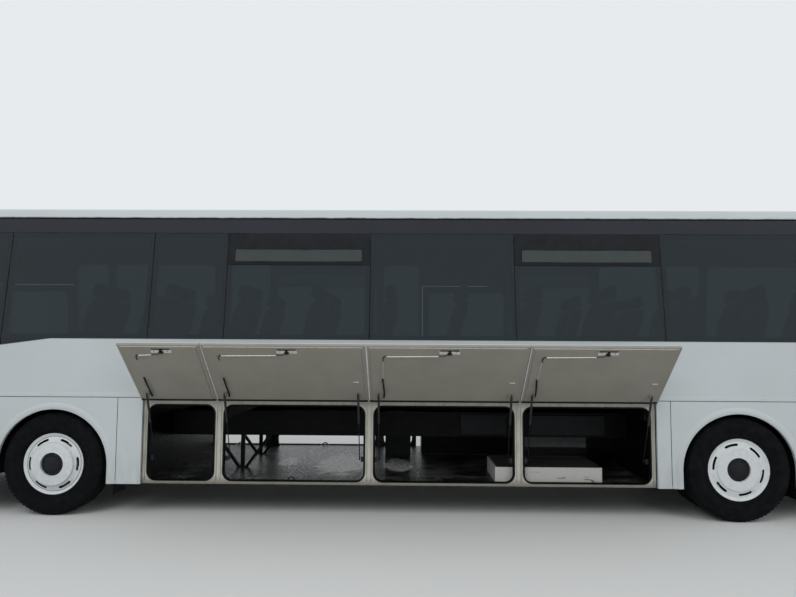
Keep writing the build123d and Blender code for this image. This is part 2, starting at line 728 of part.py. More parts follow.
FOOT_Y = HALF - STRUT_FOOT_IN
STRUT_TOP_Y, STRUT_TOP_Z = flap_point(STRUT_S, STRUT_T, FLAP_OPEN)
STRUT_DY = STRUT_TOP_Y - FOOT_Y
STRUT_DZ = STRUT_TOP_Z - STRUT_FOOT_Z
STRUT_OPEN = math.hypot(STRUT_DY, STRUT_DZ)
STRUT_TILT = math.degrees(math.atan2(STRUT_DY, STRUT_DZ))


def strut_placed(shape, x):
    """From a strut drawn upright on the origin to its place at rest."""
    return Pos(x, FOOT_Y, STRUT_FOOT_Z) * Rot(-STRUT_TILT, 0, 0) * shape


def strut_tube():
    top = STRUT_OPEN
    tube = disc_x(0, top, EYE_R, -EYE_WIDTH / 2, EYE_WIDTH / 2)
    tube += disc_z(0, 0, TUBE_R, top - TUBE_LENGTH, top - EYE_R + 3)
    tube -= disc_x(0, top, STUD_R + FIT, -EYE_WIDTH, EYE_WIDTH)
    return tube - disc_z(0, 0, ROD_R + FIT, top - TUBE_LENGTH - 5, top - 2 * EYE_R)


def strut_rod():
    eye = disc_x(0, 0, EYE_R, -EYE_WIDTH / 2, EYE_WIDTH / 2)
    return eye + disc_z(0, 0, ROD_R, EYE_R / 2, ROD_LENGTH)


for side_name, bays, turn in (("left", LEFT_BAYS, left), ("right", RIGHT_BAYS, lambda s: s)):
    save(f"hold_frame_{side_name}", *[turn(piece) for piece in hold_frame(bays)])
    for index, (a, b) in enumerate(stations(bays)):
        number = index + 1
        save(f"flap_{side_name}_{number}", *[turn(opened(piece)) for piece in flap(index, a, b)])
        places = strut_places(index, a, b)
        if not places:
            continue
        tubes = [turn(strut_placed(strut_tube(), x)) for x, side in places]
        rods = [turn(strut_placed(strut_rod(), x)) for x, side in places]
        save(f"strut_tubes_{side_name}_{number}", *tubes)
        save(f"strut_rods_{side_name}_{number}", *rods)

# Passenger deck and cab platform

CAB_FLOOR = 900.0
CAB_STEP_X = X_FRONT_AXLE - 650.0
DECK_HALF = HALF - SKIRT - FIT
FRONT_WELL_Y = 500.0
MIDDLE_WELL_Y = 560.0

AISLE_HALF = 240.0

deck = block(CAB_STEP_X, X_WALL_REAR, -DECK_HALF, DECK_HALF, DECK_BOTTOM, DECK_TOP)
deck -= block(MIDDLE_DOOR[0], MIDDLE_DOOR[1], MIDDLE_WELL_Y, HALF, 0, 2000)
hold_sides = block(HOLD_X0 - SEAM, HOLD_X1, HALF - FRAME_FACE - FRAME_DEPTH, HALF, 0, 2000)
deck -= hold_sides
deck -= left(hold_sides)
riser = block(CAB_STEP_X, CAB_STEP_X + SKIRT, -DECK_HALF, DECK_HALF, CAB_FLOOR, DECK_BOTTOM)
cab = block(X_WALL_FRONT, CAB_STEP_X + SKIRT, -DECK_HALF, DECK_HALF, CAB_FLOOR - 50, CAB_FLOOR)
cab -= block(FRONT_DOOR[0], FRONT_DOOR[1], FRONT_WELL_Y, HALF, 0, CAB_FLOOR + 10)
covering = block(CAB_STEP_X, X_WALL_REAR, -AISLE_HALF, AISLE_HALF, DECK_TOP, DECK_TOP + COVERING)
deck_cuts = [at_x(x) for x in (HOLD_X0 - SEAM, *MIDDLE_DOOR, HOLD_X1)]
cab_pieces = parted(cab, *[at_x(x) for x in FRONT_DOOR])
save("passenger_floor", *parted(deck, *deck_cuts), riser, *cab_pieces, covering)

# Stairwells: treads and risers of folded sheet


STEP_SHEET = 20.0
STEP_LOW = 370.0


def steps(x0, x1, y_in, y_out, z_high, count):
    """Treads and risers that climb inward from the door."""
    rise = (z_high - STEP_LOW) / count
    run = (y_out - y_in) / count
    pieces = []
    for k in range(count):
        y, z = y_out - (k + 1) * run, STEP_LOW + k * rise
        pieces.append(block(x0, x1, y, y + run, z - STEP_SHEET, z))
        pieces.append(block(x0, x1, y - STEP_SHEET, y, z - STEP_SHEET, z + rise - STEP_SHEET))
    last = pieces.pop()
    pieces.append(last + block(x0, x1, y_in - STEP_SHEET, y_in, z_high - STEP_SHEET, z_high))
    return pieces


WELL_OUT = HALF - DOOR_THICK - FIT
front_steps = steps(*FRONT_DOOR, FRONT_WELL_Y + 20, WELL_OUT, CAB_FLOOR, 3)
middle_steps = steps(*MIDDLE_DOOR, MIDDLE_WELL_Y + 20, WELL_OUT, DECK_TOP, 4)
save("stairwells", *front_steps, *middle_steps)

# Plug doors: frame, with the glass as panes of the glazing


def door_hole(span, heights):
    x0, x1 = span
    return rounded_hole_y(x0 + DOOR_FRAME, x1 - DOOR_FRAME, *heights, PANE_CORNER, 0, HALF + 50)


def door_leaf(span):
    """A leaf's rails and stiles, against one another."""
    leaf = skin_strip(0, DOOR_THICK, DOOR_BOTTOM, DOOR_TOP, *span)
    for heights in DOOR_PANES:
        leaf -= door_hole(span, heights)
    return parted(leaf, *[at_z(z) for heights in DOOR_PANES for z in heights])


def door_panes(span):
    layer = skin_strip(PANE_IN, PANE_IN + GLASS, DOOR_BOTTOM, DOOR_TOP, *span)
    return [layer & door_hole(span, heights) for heights in DOOR_PANES]


PANE_IN = 12.0
save("plug_doors", *door_leaf(FRONT_DOOR), *door_leaf(MIDDLE_DOOR))
save(
    "glazing",
    *[left(pane) for pane in window_panes(LEFT_PANES)],
    *window_panes(RIGHT_PANES),
    *door_panes(FRONT_DOOR),
    *door_panes(MIDDLE_DOOR),
    rear_window,
)

# Luggage hold: floor and bulkheads

HOLD_HALF = HALF - FRAME_FACE - FRAME_DEPTH
WALL_SHEET = 30.0
WELL_SIDE = 20.0

CABINET = (HOLD_X0 + 2344, HOLD_X0 + 2654)
CABINET_Y = (385.0, 800.0)
CABINET_TOP = 690.0
HOUSING = (HOLD_X1 - 1560, HOLD_X1 - 510)
HOUSING_Y = (95 - HALF, 750 - HALF)
HOUSING_TOP = 497.0
POST_X = HOLD_X0 + 798.0
POST_HALF = 20.0
MAT_HALF = HOLD_HALF - 40
STRIKER_R = 42.0
STRIKER_BAR = 11.0
STRIKER_Y = (HALF - 110, HALF - 90)
STRIKERS_LEFT = (367.0, 714.0, 682.0)
STRIKERS_RIGHT = (367.0, 754.0)

well_x0, well_x1 = MIDDLE_DOOR[0] - WELL_SIDE - 5, MIDDLE_DOOR[1] + WELL_SIDE + 5
well_y = MIDDLE_WELL_Y - 5
floor = block(HOLD_X0, HOLD_X1, -HOLD_HALF, HOLD_HALF, HOLD_FLOOR_TOP - HOLD_FLOOR, HOLD_FLOOR_TOP)
floor -= block(well_x0, well_x1, well_y - WELL_SIDE, HALF, 0, 2000)
tub = parted(floor, at_x(well_x0), at_x(well_x1))
for x0, x1 in ((HOLD_X0, HOLD_X0 + WALL_SHEET), (HOLD_X1 - WALL_SHEET, HOLD_X1)):
    bulkhead = block(x0, x1, -HOLD_HALF, HOLD_HALF, HOLD_FLOOR_TOP, DECK_BOTTOM)
    rail_hole = block(x0 - 5, x1 + 5, RAIL_Y - RAIL_WIDTH / 2, RAIL_Y + RAIL_WIDTH / 2, RAIL_BOTTOM, RAIL_TOP)
    tub.append(bulkhead - rail_hole - left(rail_hole))
for x in (well_x0, well_x1 - WELL_SIDE):
    tub.append(block(x, x + WELL_SIDE, well_y, HOLD_HALF, HOLD_FLOOR_TOP - HOLD_FLOOR, DECK_BOTTOM))
tub.append(block(well_x0, well_x1, well_y - WELL_SIDE, well_y, HOLD_FLOOR_TOP - HOLD_FLOOR, DECK_BOTTOM))
mat_x0, mat_x1 = POST_X + 68, CABINET[0] - 58
tub.append(block(mat_x0, mat_x1, -MAT_HALF, MAT_HALF, HOLD_FLOOR_TOP, HOLD_FLOOR_TOP + COVERING))


def striker(x):
    """A half ring on the floor that guards a flap's striker."""
    ring = disc_y(x, HOLD_FLOOR_TOP, STRIKER_R, *STRIKER_Y) - disc_y(
        x, HOLD_FLOOR_TOP, STRIKER_R - STRIKER_BAR, STRIKER_Y[0] - 5, STRIKER_Y[1] + 5
    )
    return ring & block(x - STRIKER_R, x + STRIKER_R, 0, HALF, HOLD_FLOOR_TOP, HOLD_FLOOR_TOP + STRIKER_R)


for bays, places, turn in ((LEFT_BAYS, STRIKERS_LEFT, left), (RIGHT_BAYS, STRIKERS_RIGHT, lambda s: s)):
    tub += [turn(striker(a + place)) for (a, b), place in zip(stations(bays), places)]
save("hold_tub", *tub)

# What stands in the hold: heater cabinet, low housing, and the ducts on the left rail

DUCT_FACES = ((HOLD_X0 + 3203, HOLD_X0 + 3690, 10.0), (HOLD_X1 - 1080, HOLD_X1 - 281, 35.0))
DUCT_Z = (724.0, 930.0)
cabinet = block(*CABINET, *CABINET_Y, HOLD_FLOOR_TOP, CABINET_TOP)
housing = block(*HOUSING, *HOUSING_Y, HOLD_FLOOR_TOP, HOUSING_TOP)
rail_face = -RAIL_Y - RAIL_WIDTH / 2
ducts = [block(x0, x1, rail_face - depth, rail_face, *DUCT_Z) for x0, x1, depth in DUCT_FACES]
save("hold_equipment", cabinet, housing, *ducts)

# Chassis: two rails, cross members, portal posts with V braces

CHASSIS_X0 = X_WALL_FRONT + 150
CHASSIS_X1 = X_WALL_REAR - 60
CROSS = 60.0
CROSS_X = [CHASSIS_X0 + 200, X_FRONT_AXLE - 480, X_FRONT_AXLE + 480, HOLD_X0 + 800]
CROSS_X += [HOLD_X0 + 2240, HOLD_X0 + 3710, HOLD_X1 - 90, X_REAR_AXLE - 520, X_REAR_AXLE + 560]
RAIL_IN = RAIL_Y - RAIL_WIDTH / 2
RAIL_OUT = RAIL_Y + RAIL_WIDTH / 2
BRACE_SPREAD = 300.0
BRACE_HALF = 18.0
OUTRIGGER = 50.0
BUMPER_ARM = (600.0, 760.0)

front_top = CAB_FLOOR - 50
low_end = CAB_STEP_X + SKIRT
front_inside = extrude_z(plan(SHELL + FIT, *FRONT_SHAPE), 0, HINGE_HEIGHT)
rear_inside = extrude_z(plan(SHELL + FIT, X_REAR, X_WALL_REAR - 10, CAP_BOW, CAP_CORNER), 0, BUMPER_TOP)
half_frame = [
    block(CHASSIS_X0, low_end, RAIL_IN, RAIL_OUT, RAIL_BOTTOM, front_top),
    block(low_end, CHASSIS_X1, RAIL_IN, RAIL_OUT, RAIL_BOTTOM, RAIL_TOP),
    block(
        POST_X - POST_HALF, POST_X + POST_HALF, RAIL_Y - POST_HALF, RAIL_Y + POST_HALF,
        HOLD_FLOOR_TOP, RAIL_BOTTOM,
    ),
]
front_arm = block(X_FRONT, X_WALL_FRONT, RAIL_IN, RAIL_OUT, *BUMPER_ARM) & front_inside
rear_arm = block(X_WALL_REAR, X_REAR, RAIL_IN, RAIL_OUT, BUMPER_ARM[0], RAIL_BOTTOM) & rear_inside
half_frame += [
    front_arm + block(X_WALL_FRONT, CHASSIS_X0, RAIL_IN, RAIL_OUT, *BUMPER_ARM),
    rear_arm + block(CHASSIS_X1 - 200, X_WALL_REAR, RAIL_IN, RAIL_OUT, BUMPER_ARM[0], RAIL_BOTTOM),
]
for way in (-1, 1):
    foot = POST_X + way * (POST_HALF + BRACE_HALF)
    top = POST_X + way * BRACE_SPREAD
    sketch = polygon(
        (foot - BRACE_HALF, HOLD_FLOOR_TOP), (foot + BRACE_HALF, HOLD_FLOOR_TOP),
        (top + BRACE_HALF, RAIL_BOTTOM), (top - BRACE_HALF, RAIL_BOTTOM),
    )
    half_frame.append(extrude_y(sketch, RAIL_Y - POST_HALF, RAIL_Y + POST_HALF))
chassis = half_frame + [left(piece) for piece in half_frame]
for x in CROSS_X:
    top = min(RAIL_TOP - 60, front_top) if x < low_end else RAIL_TOP - 60
    chassis.append(block(x, x + CROSS, -RAIL_IN, RAIL_IN, RAIL_BOTTOM + 60, top))
for x in CROSS_X[1:]:
    in_well = MIDDLE_DOOR[0] - 100 < x < MIDDLE_DOOR[1] + 50
    reach = RAIL_OUT if in_well else HOLD_HALF
    chassis.append(block(x, x + OUTRIGGER, -HOLD_HALF, reach, RAIL_TOP, DECK_BOTTOM))
save("chassis_frame", *chassis)

# Axles, with air bellows up to the rails

BEAM_HALF = 50.0
BEAM_LOW = 370.0
BELLOWS_R = 115.0
BOSS_R = 50.0
BOSS_HALF = 70.0


def wheel_y(recess):
    return HALF - recess - RIM_HALF


BEAM_END = 680.0
BEAM_DEPTH = 90.0
x = X_FRONT_AXLE
front_axle = [block(x - BEAM_HALF, x + BEAM_HALF, -BEAM_END, BEAM_END, BEAM_LOW, BEAM_LOW + BEAM_DEPTH)]
sketch = polygon(
    (BEAM_END, BEAM_LOW), (KINGPIN_Y, AXLE_Z - 45),
    (KINGPIN_Y, AXLE_Z + 60), (BEAM_END, BEAM_LOW + BEAM_DEPTH),
)
boss = disc_z(x, KINGPIN_Y, BOSS_R, AXLE_Z - BOSS_HALF, AXLE_Z + BOSS_HALF)
half_axle = [
    extrude_x(sketch, x - BEAM_HALF + 8, x + BEAM_HALF - 8) - boss,
    boss - disc_z(x, KINGPIN_Y, KINGPIN_R + FIT, AXLE_Z - 2 * BOSS_HALF, AXLE_Z + 2 * BOSS_HALF),
    disc_z(x, RAIL_Y, BELLOWS_R, BEAM_LOW + BEAM_DEPTH, RAIL_BOTTOM),
]
for piece in half_axle:
    front_axle += [piece, left(piece)]
save("front_axle", *front_axle)


def knuckle():
    """Right-hand knuckle: two ears on the kingpin, a plate and the spindle."""
    x = X_FRONT_AXLE
    ear = 40.0
    body = disc_z(x, KINGPIN_Y, BOSS_R + 5, AXLE_Z + BOSS_HALF + 1, AXLE_Z + BOSS_HALF + ear)
    body += disc_z(x, KINGPIN_Y, BOSS_R + 5, AXLE_Z - BOSS_HALF - ear, AXLE_Z - BOSS_HALF - 1)
    body += disc_z(x, KINGPIN_Y, KINGPIN_R, AXLE_Z - BOSS_HALF - ear, AXLE_Z + BOSS_HALF + ear)
    plate_in = KINGPIN_Y + BOSS_R + 5
    low, high = AXLE_Z - BOSS_HALF - ear, AXLE_Z + BOSS_HALF + ear
    body += block(x - 50, x + 50, plate_in, plate_in + 20, low, high)
    body += block(x - 50, x + 50, KINGPIN_Y, plate_in, AXLE_Z + BOSS_HALF + 1, high)
    body += block(x - 50, x + 50, KINGPIN_Y, plate_in, low, AXLE_Z - BOSS_HALF - 1)
    return body + disc_y(x, AXLE_Z, SPINDLE_R, plate_in, SPINDLE_END)


SPINDLE_END = wheel_y(FRONT_RECESS) + 60
save("knuckle_left", left(knuckle()))
save("knuckle_right", knuckle())

DIFF_R = 190.0
DIFF_HALF = 110.0
TUBE_AXLE_R = 75.0
TUBE_AXLE_END = 640.0
ARM_REACH = 480.0
ARM_HALF = 50.0
BELLOWS_AT = 360.0
REAR_SPINDLE_END = wheel_y(REAR_RECESS) + 40
axle_tube = disc_y(X_REAR_AXLE, AXLE_Z, TUBE_AXLE_R, DIFF_HALF, TUBE_AXLE_END)
spring_arm = block(
    X_REAR_AXLE - ARM_REACH, X_REAR_AXLE + ARM_REACH, RAIL_IN, RAIL_OUT, AXLE_Z - ARM_HALF, AXLE_Z + ARM_HALF
)
half_axle = [
    axle_tube,
    disc_y(X_REAR_AXLE, AXLE_Z, SPINDLE_R, TUBE_AXLE_END, REAR_SPINDLE_END),
    spring_arm - axle_tube,
]
for x in (X_REAR_AXLE - BELLOWS_AT, X_REAR_AXLE + BELLOWS_AT):
    half_axle.append(disc_z(x, RAIL_Y, BELLOWS_R, AXLE_Z + ARM_HALF, RAIL_BOTTOM))
rear_axle = [disc_y(X_REAR_AXLE, AXLE_Z, DIFF_R, -DIFF_HALF, DIFF_HALF)]
for piece in half_axle:
    rear_axle += [piece, left(piece)]
save("rear_axle", *rear_axle)

# Wheels, made round the Y axis at the origin with the outer face towards +Y


def tyre():
    half = TYRE_WIDTH / 2
    bead = 100.0
    lines = [
        Line((BEAD_R, -bead), (BEAD_R, bead)),
        ThreePointArc((BEAD_R, bead), (390, half), (470, half - 14)),
        ThreePointArc((470, half - 14), (491, half - 22), (497, half - 40)),
        Line((497, half - 40), (TYRE_R, 60)),
        Line((TYRE_R, 60), (TYRE_R, -60)),
        Line((TYRE_R, -60), (497, 40 - half)),
        ThreePointArc((497, 40 - half), (491, 22 - half), (470, 14 - half)),
        ThreePointArc((470, 14 - half), (390, -half), (BEAD_R, -bead)),
    ]
    profile = make_face(Curve() + lines)
    return revolve(profile, Axis.Y)


SLOTS = 6
SLOT_R = 240.0
SLOT_WIDTH = 24.0
SLOT_SPAN = 26.0


def wheel_disc(hub_out, bore_depth):
    """Rim and slotted disc; hub_out is how far the hub stands out of the rim's face."""
    face = RIM_HALF
    points = [
        (RIM_R, face), (BEAD_R - FIT, face - 12), (BEAD_R - FIT, 12 - face), (RIM_R, -face),
        (RIM_R - 22, -face), (BEAD_R - 20, 20 - face), (BEAD_R - 20, face - 60),
        (150, face + hub_out - 60), (90, face + hub_out - 60), (90, -60), (SPINDLE_R + FIT, -60),
        (SPINDLE_R + FIT, bore_depth), (0, bore_depth), (0, face + hub_out - 34),
        (HUB_HOLE_R - 6, face + hub_out - 34), (HUB_HOLE_R - 6, face + hub_out - 24),
        (HUB_HOLE_R, face + hub_out - 24), (HUB_HOLE_R, face + hub_out), (205, face + hub_out * 0.75 + 2),
        (215, face + hub_out * 0.4 - 6), (268, face - 16), (RIM_R - 14, face - 8),
    ]
    disc = revolve(polygon(*points), Axis.Y)
    sketch = SlotArc(CenterArc((0, 0), SLOT_R, -SLOT_SPAN / 2, SLOT_SPAN), SLOT_WIDTH)
    for index in range(SLOTS):
        turned = Rot(0, 0, index * 360 / SLOTS) * sketch
        disc -= extrude_y(turned, face - 90, face + 40)
    return disc


def at(shape, x, y, turn):
    return Pos(x, y, AXLE_Z) * Rot(0, turn, 0) * shape


FRONT_WHEEL_Y = wheel_y(FRONT_RECESS)
REAR_WHEEL_Y = wheel_y(REAR_RECESS)
front_disc = at(wheel_disc(40, 62), X_FRONT_AXLE, FRONT_WHEEL_Y, 0)
rear_disc = at(wheel_disc(4, 42), X_REAR_AXLE, REAR_WHEEL_Y, 15)
INNER_BARREL = [
    (RIM_R, RIM_HALF), (BEAD_R - FIT, RIM_HALF - 12), (BEAD_R - FIT, 12 - RIM_HALF), (RIM_R, -RIM_HALF),
    (RIM_R - 22, -RIM_HALF), (BEAD_R - 20, 20 - RIM_HALF), (BEAD_R - 20, RIM_HALF - 20),
    (RIM_R - 22, RIM_HALF),
]
inner_rim = at(revolve(polygon(*INNER_BARREL), Axis.Y), X_REAR_AXLE, REAR_WHEEL_Y - DUAL_SPACING, 0)
DRUM = [
    (RIM_R - 30, -RIM_HALF), (RIM_R - 22, -RIM_HALF), (RIM_R - 22, RIM_HALF - DUAL_SPACING),
    (RIM_R - 30, RIM_HALF - DUAL_SPACING),
]
dual_spacer = at(revolve(polygon(*DRUM), Axis.Y), X_REAR_AXLE, REAR_WHEEL_Y, 0)
front_tyre = at(tyre(), X_FRONT_AXLE, FRONT_WHEEL_Y, 0)
rear_tyres = [at(tyre(), X_REAR_AXLE, REAR_WHEEL_Y - k * DUAL_SPACING, 0) for k in (0, 1)]
for side_name, turn in (("left", left), ("right", lambda s: s)):
    save(f"front_wheel_{side_name}", turn(front_disc))
    save(f"front_tyre_{side_name}", turn(front_tyre))
    save(f"rear_wheels_{side_name}", turn(rear_disc + dual_spacer + inner_rim))
    save(f"rear_tyres_{side_name}", *[turn(piece) for piece in rear_tyres])

# Engine, tanks

ENGINE_X = (X_WALL_REAR - 1500, X_WALL_REAR - 150)
ENGINE_Z = (430.0, 1040.0)
ENGINE_HALF = RAIL_IN - 65
MOUNT_SIZE = 100.0
engine = block(*ENGINE_X, -ENGINE_HALF, ENGINE_HALF, *ENGINE_Z)
for x in (ENGINE_X[0] + 150, ENGINE_X[1] - 250):
    engine += block(x, x + MOUNT_SIZE, -RAIL_IN, RAIL_IN, RAIL_BOTTOM + 60, RAIL_BOTTOM + 60 + MOUNT_SIZE)
save("engine", engine)

TANK_X = (HOLD_X0 - 280, HOLD_X0 - 20)
TANK_HALF = HALF - 195
TANK_LOW = 410.0
TANK_CORNER = 40.0
AIR_TANK_R = 110.0
tank = block(*TANK_X, -TANK_HALF, TANK_HALF, TANK_LOW, RAIL_BOTTOM)
tank = fillet(tank.edges().filter_by(Axis.Y), TANK_CORNER)
air_tanks = [
    disc_x(side * 2 * AIR_TANK_R, RAIL_BOTTOM + 130, AIR_TANK_R, CROSS_X[-2] + CROSS, CROSS_X[-1])
    for side in (-1, 1)
]
save("tanks", tank, *air_tanks)

# Seats and dashboard

SEAT_PITCH = 760.0
SEAT_WIDTH = 430.0
SEAT_ROWS = 12
SEAT_X0 = CAB_STEP_X + 330
SEAT_SIDE = [
    (0, 0), (60, 0), (60, 330), (430, 330), (440, 0), (500, 0), (500, 400), (670, 1080), (650, 1180),
    (560, 1190), (520, 1100), (410, 460), (60, 440), (-20, 420), (-20, 330), (0, 330),
]


def seat(x, y0, z):
    profile = polygon(*[(x + px, z + pz) for px, pz in SEAT_SIDE])
    return extrude_y(profile, y0, y0 + SEAT_WIDTH)


SEAT_HIGH = DECK_TOP + 1190
SEAT_OUT = wall_y(SEAT_HIGH) - WALL - 35
SEAT_SPACE = SEAT_WIDTH + 10
seats = [seat(X_WALL_FRONT + 640, SEAT_WIDTH / 2 - SEAT_OUT, CAB_FLOOR)]
for row in range(SEAT_ROWS):
    x = SEAT_X0 + row * SEAT_PITCH
    for side in (-1, 1):
        near_well = x + 700 > MIDDLE_DOOR[0] - 40 and x < MIDDLE_DOOR[1] + 40
        if side > 0 and near_well:
            continue
        for place in (0, 1):
            y0 = SEAT_OUT - SEAT_WIDTH - place * SEAT_SPACE
            seats.append(seat(x, y0 if side > 0 else -y0 - SEAT_WIDTH, DECK_TOP))
save("seats", *seats)

DASH = [(-190, CAB_FLOOR), (60, CAB_FLOOR), (60, 1180), (150, 1260), (120, 1320), (-150, 1290), (-190, 1200)]
DASH_HALF = HALF - 195
HAND_WHEEL = (X_WALL_FRONT + 280, SEAT_WIDTH - SEAT_OUT, 1400)
HAND_WHEEL_R = 225.0
HAND_WHEEL_TILT = -35.0
dashboard = extrude_y(polygon(*[(X_WALL_FRONT + px, pz) for px, pz in DASH]), -DASH_HALF, DASH_HALF)
column = Pos(*HAND_WHEEL) * Rot(0, HAND_WHEEL_TILT, 0) * (
    Torus(HAND_WHEEL_R, 16) + Box(2 * HAND_WHEEL_R, 40, 14) + Pos(0, 0, -170) * Cylinder(30, 330)
)
save("dashboard", dashboard + column)

# Mirrors and wipers

ARM_R = 22.0


def bar(points, radius):
    """A round bar along straight runs with ball corners."""
    shape = None
    for p, q in zip(points, points[1:]):
        start, end = Vector(*p), Vector(*q)
        run = end - start
        plane = Plane(origin=start, z_dir=run.normalized())
        piece = extrude(plane * Circle(radius), amount=run.length)
        piece += Pos(*q) * Sphere(radius)
        shape = piece if shape is None else shape + piece
    return shape


MIRROR_TOP = ROOF_TOP - 310
MIRROR_HEAD = (ROOF_TOP - 990, ROOF_TOP - 510)
MIRROR_EDGE = 30.0


def mirror_arm():
    """The arm ahead of the front's corner, and the head that hangs from it."""
    points = [
        (X_FRONT + 330, 215 - HALF, MIRROR_TOP),
        (X_FRONT - 90, 125 - HALF, MIRROR_TOP - 20),
        (X_FRONT - 120, 15 - HALF, MIRROR_HEAD[1] - 20),
    ]
    head = block(X_FRONT - MIRROR_REACH, X_FRONT - 60, -HALF - 125, 125 - HALF, *MIRROR_HEAD)
    head = fillet(head.edges(), MIRROR_EDGE)
    return [bar(points, ARM_R) - front_half - head, head]


def screen_point(y, z, proud):
    """A point just ahead of the front's outer face."""
    lean = max(0.0, z - SCREEN_BASE) * SCREEN_RAKE / (ROOF_TOP + 60 - SCREEN_BASE)
    bow = NOSE_BOW * (y / (HALF + 20 - NOSE_CORNER)) ** 2
    return (X_FRONT + bow + lean - proud, y, z)


WIPER_R = 9.0
WIPER_REACH = HALF - 655
WIPER_LOW = 1268.0
WIPER_HIGH = 1390.0
wipers = []
for y in (-180.0, HALF - 455):
    arm = bar([screen_point(y, WIPER_LOW, 3), screen_point(y - WIPER_REACH, WIPER_HIGH, 14)], WIPER_R)
    wipers.append(arm - front(0))
mirror_left = mirror_arm()
save("mirrors_and_wipers", *mirror_left, *[left(piece) for piece in mirror_left], *wipers)

# Mud flaps behind the wheels

MUD_FLAP = 8.0
MUD_FLAP_Z = (200.0, 640.0)
mud_flaps = []
for x, y0 in ((TANK_X[0] - MUD_FLAP - FIT, HALF - 315), (X_REAR_AXLE + 590, HALF - 615)):
    piece = block(x, x + MUD_FLAP, y0, DECK_HALF, *MUD_FLAP_Z)
    mud_flaps += [piece, left(piece)]
save("mud_flaps", *mud_flaps)
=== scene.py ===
import functools
import math

import bmesh
import bpy
from mathutils import Matrix, Vector


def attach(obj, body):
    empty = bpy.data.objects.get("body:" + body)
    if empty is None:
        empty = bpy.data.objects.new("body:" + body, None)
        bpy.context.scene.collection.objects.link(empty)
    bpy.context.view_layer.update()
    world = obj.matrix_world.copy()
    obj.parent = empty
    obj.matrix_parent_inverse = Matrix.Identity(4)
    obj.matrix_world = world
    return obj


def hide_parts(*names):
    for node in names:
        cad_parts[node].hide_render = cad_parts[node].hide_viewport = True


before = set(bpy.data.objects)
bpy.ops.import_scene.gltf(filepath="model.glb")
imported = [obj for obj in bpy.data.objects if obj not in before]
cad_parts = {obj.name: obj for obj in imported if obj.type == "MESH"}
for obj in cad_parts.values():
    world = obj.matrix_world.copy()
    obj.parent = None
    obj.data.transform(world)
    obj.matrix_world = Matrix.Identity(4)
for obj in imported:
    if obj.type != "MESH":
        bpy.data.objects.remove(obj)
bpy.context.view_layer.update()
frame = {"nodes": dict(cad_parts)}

bl_info = {
    "name": "Intercity coach finishes",
    "version": (1, 0, 0),
    "blender": (4, 5, 0),
    "location": "3D View > Sidebar > Coach",
    "description": "Dresses the coach's frame with its panels' finishes, fittings, tyres, seats and studio",
    "category": "Object",
}

# Stations along the coach and heights, in metres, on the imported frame
HALF_WIDTH = 1.275
FRONT_AXLE_X = -3.59
REAR_AXLE_X = 3.13
AXLE_Z = 0.5
BELT_Z = 1.74
BELT_KNEE_X = -3.661
BELT_FALL = 0.134
GLASS_TOP_Z = 2.823
BAND_TOP_Z = 2.988
LEAN = math.tan(math.radians(6.9))
WALL_FRONT_X = -5.86
WALL_REAR_X = 6.12
WINDOW_SEAMS = tuple(FRONT_AXLE_X + s for s in (-0.568, 0.902, 1.662, 3.117, 4.572, 6.042, 7.502, 8.962))
FRONT_DOOR = (-5.800, -4.700)
MIDDLE_DOOR = (0.109, 1.309)

# The luggage hold: its bays, its frame's posts and holes, and its floor
HOLD_X0 = -2.706
LEFT_BAYS = (0.752, 1.487, 1.470, 1.334)
RIGHT_BAYS = (0.752, 1.487, 0.494)
SIDES = (("left", -1, LEFT_BAYS), ("right", 1, RIGHT_BAYS))
PANEL_JOINTS = (HOLD_X0 - 0.249, HOLD_X0 + sum(LEFT_BAYS) + 0.139)
FRAME_Y = 1.230
FRAME_BACK_Y = 1.190
SILL_Z = 0.352
HOLE_TOP_Z = 1.080
POST = 0.052
HOLE_CORNER = 0.080
HOLD_FLOOR_Z = 0.3455
STRIKER_Y = 1.168
STRIKER_RING_Y = (1.164, 1.1855)
STRIKER_RING_Z = (0.3490, 0.3855)

# The low housing at the back of the hold: where it starts and ends, its front, its far edge and its lid
HOUSING_X0 = 0.4
HOUSING_X1 = 0.792
HOUSING_Y = -0.540
HOUSING_TOP_Z = 0.5
HOUSING_LID_Z = 0.4955

# The flaps: hinge line, opening angle, and depths t inwards from the outer face
HINGE_Y = 1.281
HINGE_Z = 1.160
FLAP_ANGLE = math.radians(131)
SKIN_T = 0.0398
LINING_T = 0.0395
PAN_DEPTH = 0.046
FLAP_RIM_S = 0.828
STRUT_INSET = 0.098

# The wheels: middle plane of the outer tyres, from there to the twin and to the disc's face, and where
# the back of a front wheel's trim stands, with how much further out a rear wheel's is
WHEEL_Y = {"front": 1.122, "rear": 1.136}
TWIN_SPACING = 0.330
DISC_OUT = 0.115
TRIM_BACK_Y = 1.222
REAR_TRIM_FURTHER = 0.010

# Plan of the ends' faces: nose station, way inwards, bow, corner radius, lean over 2 m of height
ENDS = {
    "front": (-6.290, 1, 0.090, 0.200, 0.230),
    "rear": (6.440, -1, 0.020, 0.120, 0.060),
    "rear_bumper": (6.470, -1, 0.020, 0.120, 0.0),
}
PLATE_HOLDER = (-0.275, 0.275, 0.540, 0.670)
PLATE_BLANK = (-0.260, 0.260, 0.550, 0.660)
MIRROR_X = -6.35

# Heights of the amber and the white fields of the rear lamps, and where the front corner lamps start
AMBER_Z = (1.11, 1.3)
WHITE_Z = (0.8, 0.93)
CORNER_LAMP_Y = 1.085

# Patches of the hold's floor rubbed by cases: middle x and y, and half their length and width
WORN_PATCHES = ((-1.455, -0.09, 0.130, 0.30), (-0.820, -0.20, 0.300, 0.66), (-0.190, -0.23, 0.170, 0.42))


